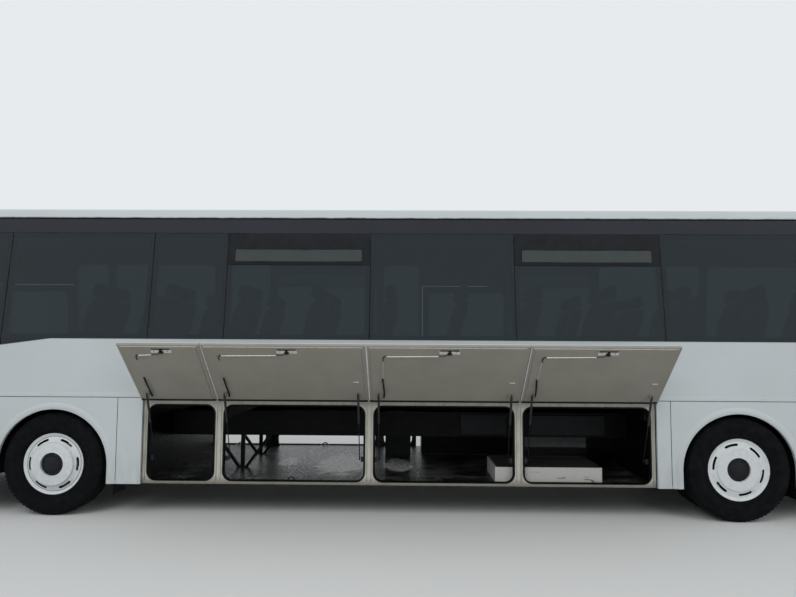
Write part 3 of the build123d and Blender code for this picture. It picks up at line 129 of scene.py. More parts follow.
def linear_rgb(code):
    """An sRGB hex colour as linear red, green and blue."""
    values = [int(code[i : i + 2], 16) / 255 for i in (1, 3, 5)]
    return tuple(v / 12.92 if v <= 0.04045 else ((v + 0.055) / 1.055) ** 2.4 for v in values)


def colour(name, code, description):
    """A colour that the panel shows."""
    return bpy.props.FloatVectorProperty(
        name=name, description=description, subtype="COLOR", size=3, min=0, max=1, default=linear_rgb(code)
    )


def length(name, metres, description):
    """A length that the panel shows."""
    return bpy.props.FloatProperty(
        name=name, description=description, unit="LENGTH", subtype="DISTANCE", min=0, default=metres
    )


class CoachColours(bpy.types.PropertyGroup):
    enamel: colour("Body enamel", "#B6BDBF", "Sprayed white of the panels, cove and roof")
    band: colour("Window band", "#1C1F27", "Navy-black enamel of the band round the windows")
    glass: colour("Side glass", "#4A5A58", "Green-grey toned safety glass")
    frame: colour("Hold frame", "#ADACA2", "Cream enamel of the luggage hold's frame")
    lining: colour("Flap lining", "#8D8A80", "Beige gelcoat inside the flaps")
    hold: colour("Hold lining", "#07080A", "Black paint on the hold's floor and walls")
    trim: colour("Wheel trim", "#C6CBCC", "White enamel of the wheel trims")
    rubber: colour("Tyre rubber", "#08090B", "Tyres, seals and mud flaps")
    moquette: colour("Moquette", "#272D38", "Seat cloth")
    floor: colour("Studio floor", "#D6D7D6", "Floor that the coach stands on")


class CoachSizes(bpy.types.PropertyGroup):
    seal: length("Opening seal", 0.014, "Width of the rubber edging round each hold opening")
    gasket: length("Window gasket", 0.008, "Width of the rubber joint between two panes")
    screw: length("Hinge screw", 0.005, "Radius of the screw heads along the hinge strips")
    screw_pitch: length("Screw pitch", 0.121, "Distance between two screws of a hinge strip")
    strip_pitch: length("Strip pitch", 0.425, "Distance between two screws of a panel strip")
    slat_pitch: length("Slat pitch", 0.027, "Distance between two slats of a grille")
    conduit: length("Lock conduit", 0.006, "Radius of the tube from a flap's lock")
    groove: length("Tread groove", 0.012, "Depth of the grooves round the tyres")
    bead: length("Cove sealant", 0.005, "Radius of the sealant run under the cove")


def colours():
    return bpy.context.scene.coach_colours


def sizes():
    return bpy.context.scene.coach_sizes


# Nodes and materials


def feed(socket, value):
    """A field or a socket comes in by a link; a hex code, a colour or a number is the socket's own value."""
    if isinstance(value, Field):
        value = value.socket
    if isinstance(value, bpy.types.NodeSocket):
        socket.id_data.links.new(value, socket)
        return
    if isinstance(value, str):
        value = linear_rgb(value)
    socket.default_value = (*tuple(value)[:3], 1) if socket.type == "RGBA" else value


def add(tree, kind, values=None):
    """One node with its attributes and what its sockets take, by name or number."""
    node = tree.nodes.new(kind)
    for key, value in (values or {}).items():
        if isinstance(key, str) and key not in node.inputs:
            setattr(node, key, value)
        else:
            feed(node.inputs[key], value)
    return node


# Steps that aren't a calculation: the node, its attributes, the sockets it fills in order, and its output
STEPS = {
    "ramp": ("ShaderNodeMapRange", {"clamp": True}, ("Value", "From Min", "From Max"), "Result"),
    "mix": ("ShaderNodeMix", {"data_type": "RGBA"}, (0, 6, 7), 2),
}


class Field:
    """A value that varies over a surface, and what further nodes make of it."""

    def __init__(self, socket):
        self.socket = socket

    def to(self, step, *others, first=None):
        """One more node on this and others, or on a first number and this; a step not listed is Math's."""
        terms = (self, *others) if first is None else (first, self)
        math_step = ("ShaderNodeMath", {"operation": step}, (0, 1), 0)
        kind, values, sockets, output = STEPS.get(step, math_step)
        node = add(self.socket.id_data, kind, {**values, **dict(zip(sockets, terms))})
        return Field(node.outputs[output])

    def __add__(self, other):
        return self.to("ADD", other)

    def __sub__(self, other):
        return self.to("SUBTRACT", other)

    def __rsub__(self, other):
        return self.to("SUBTRACT", first=other)

    def __mul__(self, other):
        return self.to("MULTIPLY", other)

    def __truediv__(self, other):
        return self.to("DIVIDE", other)

    def __gt__(self, other):
        return self.to("GREATER_THAN", other)

    def __lt__(self, other):
        return self.to("LESS_THAN", other)

    def __abs__(self):
        return self.to("ABSOLUTE")

    def between(self, low, high):
        """1 between low and high, 0 elsewhere."""
        return (self > low) * (self < high)


class Paint:
    """A material in the making: one Principled BSDF, and fields that run in the coach's own frame."""

    def __init__(self, name, **sockets):
        self.material = bpy.data.materials.new(name)
        self.material.use_nodes = True
        self.tree = self.material.node_tree
        self.shader = self.tree.nodes["Principled BSDF"]
        self.position = add(self.tree, "ShaderNodeTexCoord").outputs["Object"]
        for key, value in sockets.items():
            self.set(key, value)

    def set(self, key, value):
        """Feed a socket of the shader, named in lower case."""
        feed(self.shader.inputs[key.replace("_", " ").title().replace("Ior", "IOR")], value)

    def axes(self, space="Object"):
        """The x, y and z of the place, or of the way a face looks with "Normal"."""
        source = add(self.tree, "ShaderNodeTexCoord").outputs[space]
        split = add(self.tree, "ShaderNodeSeparateXYZ", {"Vector": source})
        return [Field(split.outputs[axis]) for axis in "XYZ"]

    def noise(self, size_mm, detail=3.0, stretch=(1, 1, 1)):
        """Noise whose blotches are size_mm across."""
        placed = add(self.tree, "ShaderNodeMapping", {"Scale": stretch, "Vector": self.position})
        return self.pattern("Noise", size_mm, "Fac", placed.outputs[0], {"Detail": detail, "Roughness": 0.55})

    def pattern(self, kind, size_mm, output, vector=None, values=None):
        """A texture's output, its features size_mm across."""
        source = self.position if vector is None else vector
        values = {"Scale": 1000.0 / size_mm, "Vector": source, **(values or {})}
        return Field(add(self.tree, "ShaderNodeTex" + kind, values).outputs[output])

    def relief(self, height, distance, strength):
        """Bump over the whole piece, distance high in metres."""
        values = {"Strength": strength, "Distance": distance, "Height": height}
        self.set("normal", add(self.tree, "ShaderNodeBump", values).outputs[0])


def shade(value, factor):
    """A colour made lighter or darker."""
    return tuple(min(1.0, v * factor) for v in value)


def clouded(name, first, second, cloud, limits, grain=None, **sockets):
    """Colour that drifts between two, with a grain; cloud and the grain's first entry go to noise."""
    paint = Paint(name, **sockets)
    paint.set("base_color", paint.noise(*cloud).to("ramp", *limits).to("mix", first, second))
    if grain:
        pattern, distance, strength = grain
        paint.relief(paint.noise(*pattern), distance, strength)
    return paint


def soiled(paint, amount=0.16):
    """Washed enamel: broad weak cloudiness, and road film that thickens towards the ground."""
    base = tuple(colours().enamel)
    tint = paint.noise(900.0, 4.0).to("ramp", 0.3, 0.75).to("mix", base, shade(base, 1 - amount * 0.5))
    low = 1.0 - paint.axes()[2].to("ramp", 0.3, 0.75)
    streak = paint.noise(60.0, 4.0, (1, 1, 0.25)).to("ramp", 0.35, 0.8)
    return (low * streak * (amount * 3)).to("mix", tint, "#8A867D")


def above_belt(paint):
    """1 on the band of the windows and 0 on the panels under it and the roof above it."""
    x, _, z = paint.axes()
    line = BELT_Z - (BELT_KNEE_X - x).to("MAXIMUM", 0.0) * BELT_FALL
    return (z > line) * (z < BAND_TOP_Z + 0.002)


def body_enamel():
    """Polyurethane enamel, sprayed and flatted: even gloss with a faint orange peel."""
    paint = Paint("enamel_sprayed_white", roughness=0.28, coat_weight=0.3, coat_roughness=0.08)
    paint.set("base_color", soiled(paint))
    # Orange peel is finer than this, and is drawn at 9 mm so that it shows
    paint.relief(paint.noise(9.0, 2.0), 0.0004, 0.25)
    return paint


def two_tone_enamel():
    """The same enamel, with the masked navy-black band round the windows."""
    paint = Paint(
        "enamel_sprayed_two_tone", roughness=0.26, coat_weight=0.1, coat_roughness=0.08,
        specular_ior_level=0.3,
    )
    dark = tuple(colours().band)
    navy = paint.noise(500.0).to("ramp", 0.3, 0.8).to("mix", dark, shade(dark, 1.2))
    paint.set("base_color", above_belt(paint).to("mix", soiled(paint), navy))
    paint.relief(paint.noise(9.0, 2.0), 0.0004, 0.25)
    return paint


def toned_glass():
    """Float glass toned in the melt and bonded: smooth, dark, with a slight roller wave."""
    paint = Paint(
        "glass_toned", base_color=colours().glass, roughness=0.02, transmission_weight=1.0, ior=1.52,
        specular_ior_level=0.15, specular_tint=(0.78, 0.90, 1.0),
    )
    paint.relief(paint.noise(700.0, 1.0, (1, 1, 0.3)), 0.004, 0.12)
    return paint


def clear_glass():
    """Laminated windscreen: nearly clear, with the tone of its interlayer."""
    paint = Paint("glass_laminated", base_color="#B9C8C4", roughness=0.02, transmission_weight=1.0, ior=1.52)
    paint.relief(paint.noise(900.0, 1.0), 0.003, 0.1)
    return paint


def extruded_rubber():
    """EPDM rubber, extruded: matt black that greys a little with weather."""
    base = tuple(colours().rubber)
    return clouded(
        "rubber_epdm_extruded", base, shade(base, 1.9), (120.0,), (0.35, 0.8),
        ((3.0, 2.0), 0.0003, 0.3), roughness=0.6, specular_ior_level=0.2,
    )


def tyre_rubber():
    """Rubber with carbon black, moulded: dull, dusty in the low places."""
    return clouded(
        "rubber_moulded_tyre", colours().rubber, "#161819", (70.0, 5.0), (0.4, 0.85),
        ((4.0, 3.0), 0.0006, 0.4), roughness=0.82, specular_ior_level=0.12,
    )


def cream_enamel():
    """Stove enamel over welded box section: low gloss, grime in runs; the struts' feet inside are black."""
    paint = Paint("enamel_stoved_cream", roughness=0.45)
    _, y, z = paint.axes()
    grime = paint.noise(45.0, 5.0, (1, 1, 0.3)).to("ramp", 0.5, 0.8)
    tint = (grime * 0.45).to("mix", colours().frame, "#5B574C")
    worn = ((1.0 - z.to("ramp", 0.325, 0.40)) * 0.75).to("mix", tint, "#4C493F")
    within = abs(y) < FRAME_BACK_Y + 0.0005
    paint.set("base_color", within.to("mix", worn, "#141517"))
    paint.relief(paint.noise(6.0, 2.0), 0.0003, 0.3)
    return paint


def flap_finish():
    """Flap: sprayed enamel outside, beige gelcoat inside, with handling grime near the edges."""
    paint = Paint("gelcoat_and_enamel_flap", roughness=0.42)
    _, y, z = paint.axes()
    out, up = abs(y) - HINGE_Y, z - HINGE_Z
    sine, cosine = math.sin(FLAP_ANGLE), math.cos(FLAP_ANGLE)
    depth = out * -cosine - up * sine
    along = out * sine + up * -cosine
    lip = (along > FLAP_RIM_S) * (depth > 0.014)
    base = tuple(colours().lining)
    lining = paint.noise(260.0, 4.0).to("ramp", 0.3, 0.8).to("mix", base, shade(base, 0.84))
    grit = paint.noise(18.0, 4.0).to("ramp", 0.62, 0.8)
    lining = (grit * 0.35).to("mix", lining, "#5A564D")
    paint.set("base_color", (depth > LINING_T).to("MAXIMUM", lip).to("mix", soiled(paint), lining))
    paint.relief(paint.noise(14.0, 3.0), 0.0006, 0.35)
    return paint


def black_powder_coat():
    """Powder coat on drawn tube: even black with a fine texture."""
    return clouded(
        "powder_coat_black", "#0D0E10", "#1D1F21", (60.0,), (0.3, 0.8),
        ((2.0, 1.0), 0.0002, 0.3), roughness=0.38,
    )


def nitrided_steel():
    """Ground rod, nitrided in a salt bath: black with a dull steel shine and fine turning marks."""
    paint = Paint("steel_nitrided", base_color="#232527", metallic=0.8, roughness=0.30)
    # Turning marks are far finer, and are drawn 2 mm wide so that they show
    paint.relief(paint.noise(2.0, 1.0, (0.1, 0.1, 1)), 0.0001, 0.2)
    return paint


def zinc_steel():
    """Zinc-plated steel: pale grey, slightly cloudy metal."""
    return clouded(
        "steel_zinc_plated", "#B9BCBC", "#8B8F90", (12.0,), (0.3, 0.8), metallic=1.0, roughness=0.38
    )


def white_plate():
    """Powder-coated pressed plate: clean white, low gloss."""
    return clouded("powder_coat_white", "#D4D3CD", "#A9A79E", (30.0, 4.0), (0.45, 0.8), roughness=0.4)


def trim_enamel():
    """Stoved enamel on a steel disc: white with brake dust; inward of the trim's back the wheel is near-black
    and dull, painted shade that makes the slots look dark.
    """
    paint = Paint("enamel_stoved_wheel_trim", roughness=0.36)
    x, y, _ = paint.axes()
    dust = paint.noise(34.0, 5.0).to("ramp", 0.42, 0.8)
    tint = (dust * 0.28).to("mix", colours().trim, "#8B8A86")
    # Painted shade: inward of the trim's back the wheel turns near-black with weak specular, so the slots and
    # the disc behind them read dark.
    behind = abs(y) < (x > 0.0) * REAR_TRIM_FURTHER + TRIM_BACK_Y
    paint.set("base_color", behind.to("mix", tint, "#0C0D0E"))
    paint.set("specular_ior_level", 0.5 - behind * 0.4)
    paint.relief(paint.noise(7.0, 3.0), 0.0004, 0.3)
    return paint


def cast_iron():
    """Cast iron and forgings, dip-painted: dark, grainy, with dust on top."""
    return clouded(
        "iron_cast_painted", "#1B1C1D", "#3A3733", (25.0, 5.0), (0.4, 0.8),
        ((5.0, 3.0), 0.0008, 0.5), roughness=0.7,
    )


def chassis_paint():
    """Dip-painted rolled section: black, satin, with a film of road dust."""
    return clouded(
        "dip_paint_black", "#08090A", "#161615", (90.0, 5.0), (0.4, 0.85),
        ((8.0, 2.0), 0.0005, 0.3), roughness=0.5, specular_ior_level=0.1,
    )


def hold_paint():
    """Coated plywood and sheet: black, polished and pale where cases slide in; striker rings of steel."""
    paint = Paint("plywood_film_faced")
    x, y, z = paint.axes()
    ragged = (paint.noise(160.0, 6.0) - 0.5) * 1.3
    patches = []
    for middle_x, middle_y, half_x, half_y in WORN_PATCHES:
        a, b = (x - middle_x) / half_x, (y - middle_y) / half_y
        away = (a * a + b * b).to("SQRT")
        patches.append(1.0 - (away + ragged).to("ramp", 0.75, 1.05))
    patch = functools.reduce(lambda one, other: one.to("MAXIMUM", other), patches)
    fine = paint.noise(34.0, 6.0, (1, 2.2, 1)).to("ramp", 0.36, 0.54)
    light = paint.noise(380.0, 5.0, (1, 1.6, 1)).to("ramp", 0.45, 0.75)
    floor = abs(z - HOLD_FLOOR_Z) < 0.003
    laid = floor * (1.0 - (x < HOLD_X0 + LEFT_BAYS[0]))
    ground = laid.to("mix", colours().hold, "#131415")
    worn = ((patch * fine).to("MAXIMUM", light * 0.12) * floor).to("mix", ground, "#D2D3D0")
    steel = abs(y).between(*STRIKER_RING_Y) * z.between(*STRIKER_RING_Z)
    paint.set("base_color", steel.to("mix", worn, "#2B2D2C"))
    paint.set("specular_ior_level", laid * 0.26 + 0.08)
    paint.set("roughness", fine * 0.20 + 0.24)
    paint.relief(paint.noise(12.0, 3.0), 0.0003, 0.2)
    return paint


def galvanised_sheet():
    """Galvanised sheet, painted: black ducts and cabinet, and a low housing whose white front is scraped."""
    paint = Paint("steel_galvanised_sheet", roughness=0.5, specular_ior_level=0.18)
    x, y, z = paint.axes()
    grain = paint.noise(140.0, 4.0).to("ramp", 0.35, 0.75)
    front = paint.noise(55.0, 6.0, (0.5, 1, 2)).to("ramp", 0.60, 0.72).to("mix", "#A5A4A1", "#3F3E3B")
    edge = (y > HOUSING_Y).to("MAXIMUM", x < HOUSING_X1)
    top = edge.to("mix", grain.to("mix", "#2C2C2A", "#1E1F1E"), "#77766F")
    low = (z > HOUSING_LID_Z).to("mix", front, top)
    housing = (x > HOUSING_X0) * (z < HOUSING_TOP_Z)
    paint.set("base_color", housing.to("mix", grain.to("mix", "#191D1F", "#111415"), low))
    paint.relief(paint.noise(3.0, 4.0, (1, 0.08, 1)), 0.0003, 0.2)
    return paint


def moulded_black():
    """ABS, moulded with a fine grain: black mirrors, doors' frames, dashboard."""
    paint = clouded(
        "abs_moulded_black", "#111316", "#1D2024", (90.0,), (0.3, 0.8),
        roughness=0.48, specular_ior_level=0.22,
    )
    # The moulded grain is finer, and is drawn 2.5 mm across so that it shows
    paint.relief(paint.pattern("Voronoi", 2.5, "Distance"), 0.0003, 0.35)
    return paint


def seat_moquette():
    """Moquette, woven with a cut pile: dark blue-grey with a small two-tone fleck and sheen."""
    paint = Paint("moquette_woven", roughness=0.9, sheen_weight=0.35)
    # The cloth's fleck is finer than this, and is drawn at 14 mm so that it shows
    fleck = paint.pattern("Voronoi", 14, "Distance").to("ramp", 0.25, 0.45)
    paint.set("base_color", fleck.to("mix", "#4A5260", colours().moquette))
    paint.relief(paint.noise(3.0, 2.0), 0.0015, 0.5)
    return paint


def floor_covering():
    """Safety flooring on treads and floor: grey vinyl with grit; the sheet under it is painted black."""
    paint = Paint("vinyl_safety_floor", roughness=0.7)
    grit = paint.noise(6.0, 2.0).to("ramp", 0.55, 0.65)
    walked = paint.axes("Normal")[2] > 0.5
    paint.set("base_color", walked.to("mix", "#0C0D0E", grit.to("mix", "#4A4D50", "#7C7F80")))
    paint.set("specular_ior_level", walked * 0.35 + 0.12)
    paint.relief(paint.noise(5.0, 2.0), 0.0004, 0.4)
    return paint


def lamp_lens():
    """Polycarbonate lenses: smoked and amber at the front; red, amber and white at the rear, fluted."""
    paint = Paint("polycarbonate_moulded", roughness=0.08, ior=1.58)
    x, y, z = paint.axes()
    behind = z.between(*AMBER_Z).to("mix", "#8A1210", "#C46A14")
    behind = z.between(*WHITE_Z).to("mix", behind, "#C9CDCE")
    ahead = (abs(y) > CORNER_LAMP_Y).to("mix", "#4C5255", "#B8691C")
    paint.set("base_color", (x > 0.0).to("mix", ahead, behind))
    paint.relief(paint.pattern("Wave", 60, "Fac", values={"bands_direction": "Y"}), 0.0015, 0.4)
    return paint


def fired_enamel():
    """Black ceramic enamel, screened and fired on glass: deep, glossy, softly dotted at its edge."""
    return clouded(
        "enamel_ceramic_fired", "#0E1012", "#17191C", (150.0,), (0.3, 0.8),
        ((5.0, 1.0), 0.0001, 0.15), roughness=0.16,
    )


def lamp_chrome():
    """Vapour-metallised reflector: bright and a little wavy."""
    paint = Paint("aluminium_metallised", base_color="#C2C6C8", metallic=1.0, roughness=0.12)
    paint.relief(paint.noise(30.0, 1.0), 0.0004, 0.2)
    return paint


def sealant():
    """Polyurethane sealant, gunned and smoothed by hand: grey-white, a little lumpy."""
    return clouded("sealant_gunned", "#A9ABA9", "#70726F", (80.0, 4.0), (0.35, 0.7), roughness=0.55)


def sealed_joint():
    """Polyurethane sealant in the joints between panels, tooled flush: grey-black, matt, with dust."""
    return clouded(
        "polyurethane_sealant_tooled", "#2A2C2D", "#55585A", (60.0, 4.0), (0.3, 0.8),
        ((6.0, 2.0), 0.0002, 0.3), roughness=0.7, specular_ior_level=0.2,
    )


def mirror_glass():
    """Silvered glass: a metal's sharp reflection."""
    paint = Paint("glass_silvered", base_color="#C8CCCE", metallic=1.0, roughness=0.04)
    paint.relief(paint.noise(200.0, 1.0), 0.0005, 0.05)
    return paint


def backdrop():
    """Matt floor that shows white to the camera and in reflections, and keeps the shadow."""
    tone = tuple(colours().floor)
    return clouded("paper_backdrop_matt", tone, shade(tone, 0.98), (3000.0,), (0.3, 0.8), roughness=0.9)


@functools.cache
def finish(maker):
    """The material that a function makes, made once."""
    return maker().material


def dress(node, maker):
    """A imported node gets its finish."""
    item = frame["nodes"][node]
    if not item.material_slots:
        item.data.materials.append(None)
    for place in item.material_slots:
        place.material = finish(maker)


# Geometry Nodes


def geometry_tree(name, inputs):
    """A tree whose modifier takes a material and the named inputs, and the sockets that bring them in."""
    tree = bpy.data.node_groups.new(name, "GeometryNodeTree")
    tree.interface.new_socket("Geometry", in_out="INPUT", socket_type="NodeSocketGeometry")
    for label, kind, value in (*inputs, ("Material", "Material", None)):
        socket = tree.interface.new_socket(label, in_out="INPUT", socket_type="NodeSocket" + kind)
        if value is not None:
            socket.default_value = value
    tree.interface.new_socket("Geometry", in_out="OUTPUT", socket_type="NodeSocketGeometry")
    return tree, add(tree, "NodeGroupInput").outputs


def close_tree(tree, given, geometry):
    """Realize the instances, set the material, and end the tree."""
    real = add(tree, "GeometryNodeRealizeInstances", {"Geometry": geometry})
    values = {"Geometry": real.outputs[0], "Material": given["Material"]}
    painted = add(tree, "GeometryNodeSetMaterial", values)
    add(tree, "NodeGroupOutput", {"Geometry": painted.outputs[0]})
    return tree


@functools.cache
def row_tree():
    """The input shape repeated along a straight row."""
    inputs = (("Count", "Int", 2), ("Start", "Vector", None), ("Step", "Vector", None))
    tree, given = geometry_tree("fittings_in_a_row", inputs)
    places = {"Count": given["Count"], "Start Location": given["Start"], "Offset": given["Step"]}
    line = add(tree, "GeometryNodeMeshLine", {"mode": "OFFSET", **places})
    values = {"Points": line.outputs[0], "Instance": given["Geometry"]}
    copies = add(tree, "GeometryNodeInstanceOnPoints", values)
    return close_tree(tree, given, copies.outputs[0])


@functools.cache
def ring_tree():
    """The input shape, drawn on the +X side, repeated round the Y axis."""
    inputs = (("Count", "Int", 10), ("Radius", "Float", 0.1), ("Centre", "Vector", None))
    tree, given = geometry_tree("fittings_in_a_ring", inputs)
    circle = add(tree, "GeometryNodeMeshCircle", {"Vertices": given["Count"], "Radius": given["Radius"]})
    values = {"Rotation": (math.pi / 2, 0, 0), "Geometry": circle.outputs[0]}
    upright = add(tree, "GeometryNodeTransform", values)
    place = add(tree, "GeometryNodeInputPosition")
    values = {"axis": "X", "pivot_axis": "Y", "Vector": place.outputs[0]}
    turn = add(tree, "FunctionNodeAlignRotationToVector", values)
    values = {"Points": upright.outputs[0], "Instance": given["Geometry"], "Rotation": turn.outputs[0]}
    copies = add(tree, "GeometryNodeInstanceOnPoints", values)
    values = {"Geometry": copies.outputs[0], "Translation": given["Centre"]}
    moved = add(tree, "GeometryNodeTransform", values)
    return close_tree(tree, given, moved.outputs[0])


@functools.cache
def run_tree():
    """A round section run along the input's edges, its path shaken a little by noise."""
    section = (("Radius", "Float", 0.005), ("Sides", "Int", 10))
    path = (("Waviness", "Float", 0.0), ("Seed", "Float", 3.0))
    tree, given = geometry_tree("section_run_along_path", (*section, *path))
    place = add(tree, "GeometryNodeInputPosition")
    values = {"noise_dimensions": "4D", "Scale": 9.0, "Detail": 2.0, "W": given["Seed"]}
    shake = add(tree, "ShaderNodeTexNoise", {**values, "Vector": place.outputs[0]})
    values = {"operation": "SUBTRACT", 0: shake.outputs["Color"], 1: (0.5, 0.5, 0.5)}
    centred = add(tree, "ShaderNodeVectorMath", values)
    values = {"operation": "SCALE", 0: centred.outputs[0], "Scale": given["Waviness"]}
    scaled = add(tree, "ShaderNodeVectorMath", values)
    values = {"Geometry": given["Geometry"], "Offset": scaled.outputs[0]}
    moved = add(tree, "GeometryNodeSetPosition", values)
    line = add(tree, "GeometryNodeMeshToCurve", {"Mesh": moved.outputs[0]})
    values = {"Resolution": given["Sides"], "Radius": given["Radius"]}
    circle = add(tree, "GeometryNodeCurvePrimitiveCircle", values)
    values = {"Curve": line.outputs[0], "Profile Curve": circle.outputs[0], "Fill Caps": True}
    swept = add(tree, "GeometryNodeCurveToMesh", values)
    return close_tree(tree, given, swept.outputs[0])


def grown(name, mesh, tree, maker, values):
    """A plain mesh object: what a tree grows from a start mesh."""
    values = {**values, "Material": finish(maker)}
    item = placed(name, mesh)
    modifier = item.modifiers.new("growth", "NODES")
    modifier.node_group = tree
    for socket in tree.interface.items_tree:
        if socket.item_type == "SOCKET" and socket.in_out == "INPUT" and socket.name in values:
            modifier[socket.identifier] = values[socket.name]
    result = evaluated(item)
    item.modifiers.remove(modifier)
    item.data = result
    result.name = name
    return item


def row(shape, maker, count, start, step):
    """A shape repeated count times from a start place by a step."""
    values = {"Count": count, "Start": start, "Step": step}
    return grown("row", mesh_of(shape, "row"), row_tree(), maker, values)


def ring(shape, maker, count, radius, centre):
    """A shape repeated count times round a wheel's middle."""
    values = {"Count": count, "Radius": radius, "Centre": centre}
    return grown("ring", mesh_of(shape, "ring"), ring_tree(), maker, values)


# Mesh making, all in place in the coach's frame


def placed(name, data):
    """A new object in the scene, at the origin."""
    item = bpy.data.objects.new(name, data)
    bpy.context.scene.collection.objects.link(item)
    return item


def evaluated(item):
    """A plain mesh of an object as its modifiers leave it."""
    seen = item.evaluated_get(bpy.context.evaluated_depsgraph_get())
    return bpy.data.meshes.new_from_object(seen)


def soften(mesh, degrees=40.0):
    """Smooth shading, except across edges sharper than this."""
    mesh.polygons.foreach_set("use_smooth", [True] * len(mesh.polygons))
    mesh.set_sharp_from_angle(angle=math.radians(degrees))


def mesh_of(shape, name):
    """A bmesh becomes a plain mesh that faces outwards."""
    bmesh.ops.recalc_face_normals(shape, faces=shape.faces)
    mesh = bpy.data.meshes.new(name)
    shape.to_mesh(mesh)
    shape.free()
    return mesh


def put(shape, name, maker, smooth=40.0):
    """A bmesh becomes an object, with its hard edges kept."""
    mesh = mesh_of(shape, name)
    mesh.materials.append(finish(maker))
    soften(mesh, smooth)
    return placed(name, mesh)


def joined(items, name):
    """Several plain mesh objects as one, their materials kept."""
    shape = bmesh.new()
    materials = []
    for item in items:
        start = len(shape.faces)
        shape.from_mesh(item.data)
        shape.faces.ensure_lookup_table()
        own = list(item.data.materials)
        materials += [material for material in own if material not in materials]
        for face in shape.faces[start:]:
            face.material_index = materials.index(own[face.material_index]) if own else 0
        bpy.data.objects.remove(item)
    mesh = bpy.data.meshes.new(name)
    shape.to_mesh(mesh)
    shape.free()
    for material in materials:
        mesh.materials.append(material)
    soften(mesh)
    return placed(name, mesh)


def give(item, body):
    """A piece rides on its body."""
    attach(item, body)


def fit(shape, name, maker, body="coach"):
    """A bmesh becomes a piece of one material."""
    give(put(shape, name, maker), body)


def skin(shape, rings, ends=False):
    """Faces between neighbouring rings of vertices, and over the first and the last if asked."""
    count = len(rings[0])
    for first, second in zip(rings, rings[1:]):
        for i in range(count):
            j = (i + 1) % count
            shape.faces.new((first[i], first[j], second[j], second[i]))
    if ends:
        shape.faces.new(list(reversed(rings[0])))
        shape.faces.new(rings[-1])


def block(shape, low, high, bevel=0.002):
    """A bevelled block between two corners, given in any order."""
    low, high = (Vector(corner) for corner in zip(*(sorted(pair) for pair in zip(low, high))))
    matrix = Matrix.Translation((low + high) / 2) @ Matrix.Diagonal((*(high - low), 1))
    made = bmesh.ops.create_cube(shape, size=1, matrix=matrix)
    if bevel:
        edges = {edge for vert in made["verts"] for edge in vert.link_edges}
        bmesh.ops.bevel(shape, geom=list(edges), offset=bevel, segments=2, affect="EDGES", profile=0.7)


def lathe(shape, profile, centre, axis="Y", segments=48):
    """A closed outline of (radius, along) pairs turned about an axis."""
    rings = []
    for k in range(segments):
        angle = 2 * math.pi * k / segments
        turned = []
        for radius, along in profile:
            a, b = radius * math.cos(angle), radius * math.sin(angle)
            place = {"X": (along, a, b), "Y": (a, along, b), "Z": (a, b, along)}[axis]
            turned.append(shape.verts.new(Vector(centre) + Vector(place)))
        rings.append(turned)
    skin(shape, rings + rings[:1])


def rounded_disc(shape, centre, axis, radius, depth, bevel, segments=24, way=1):
    """A round boss with a softened front edge, standing from centre along an axis."""
    d, b = depth * way, bevel * way
    edge = [(radius, 0), (radius, d - b), (radius - bevel * 0.3, d - b * 0.3), (radius - bevel, d)]
    lathe(shape, [(0.0005, 0), *edge, (0.0005, d)], centre, axis, segments)


def tube(shape, points, radius, sides=10):
    """A round bar through points, its ends closed."""
    points = [Vector(p) for p in points]
    rings = []
    normal = None
    for i, p in enumerate(points):
        ahead = points[min(i + 1, len(points) - 1)] - points[max(i - 1, 0)]
        ahead.normalize()
        if normal is None:
            helper = Vector((0, 0, 1)) if abs(ahead.z) < 0.9 else Vector((1, 0, 0))
            normal = ahead.cross(helper).normalized()
        normal = (normal - ahead * normal.dot(ahead)).normalized()
        other = ahead.cross(normal)
        turned = []
        for k in range(sides):
            angle = 2 * math.pi * k / sides
            turned.append(shape.verts.new(p + (normal * math.cos(angle) + other * math.sin(angle)) * radius))
        rings.append(turned)
    skin(shape, rings, ends=True)


def prism(shape, outline, along):
    """An outline of points pushed along a vector."""
    low = [shape.verts.new(Vector(p)) for p in outline]
    high = [shape.verts.new(Vector(p) + Vector(along)) for p in outline]
    skin(shape, [low, high], ends=True)


def oblong(a0, a1, b0, b1):
    """A rectangle's outline, as (a, b) pairs."""
    return [(a0, b0), (a1, b0), (a1, b1), (a0, b1)]


def rounded_loop(a0, a1, b0, b1, radius, steps=6):
    """A rounded rectangle's outline, as (a, b) pairs."""
    points = []
    left, right, low, high = a0 + radius, a1 - radius, b0 + radius, b1 - radius
    for quarter, (a, b) in enumerate(((right, high), (left, high), (left, low), (right, low))):
        for k in range(steps + 1):
            angle = math.radians(90 * (quarter + k / steps))
            points.append((a + radius * math.cos(angle), b + radius * math.sin(angle)))
    return points


def loop_band(shape, outer, inner, place, depth):
    """A flat band between two outlines of equal count, given a depth; place maps (a, b, d)."""
    rows = []
    for outline, d in ((outer, 0), (inner, 0), (inner, depth), (outer, depth)):
        rows.append([shape.verts.new(place(a, b, d)) for a, b in outline])
    skin(shape, rows + rows[:1])


def between_points(p0, p1, p2, p3, t):
    """The place at t on a smooth curve that runs from p1 to p2."""
    a = (p2 - p0) * 0.5
    b = p0 - p1 * 2.5 + p2 * 2 - p3 * 0.5
    c = (p1 - p2) * 1.5 + (p3 - p0) * 0.5
    return p1 + (a + (b + c * t) * t) * t


def open_curve(points, steps):
    """Points on a smooth curve through the given ones, end to end."""
    ends = [points[0] * 2 - points[1], *points, points[-1] * 2 - points[-2]]
    spans = range(len(points) - 1)
    return [between_points(*ends[i : i + 4], k / steps) for i in spans for k in range(steps)] + [points[-1]]


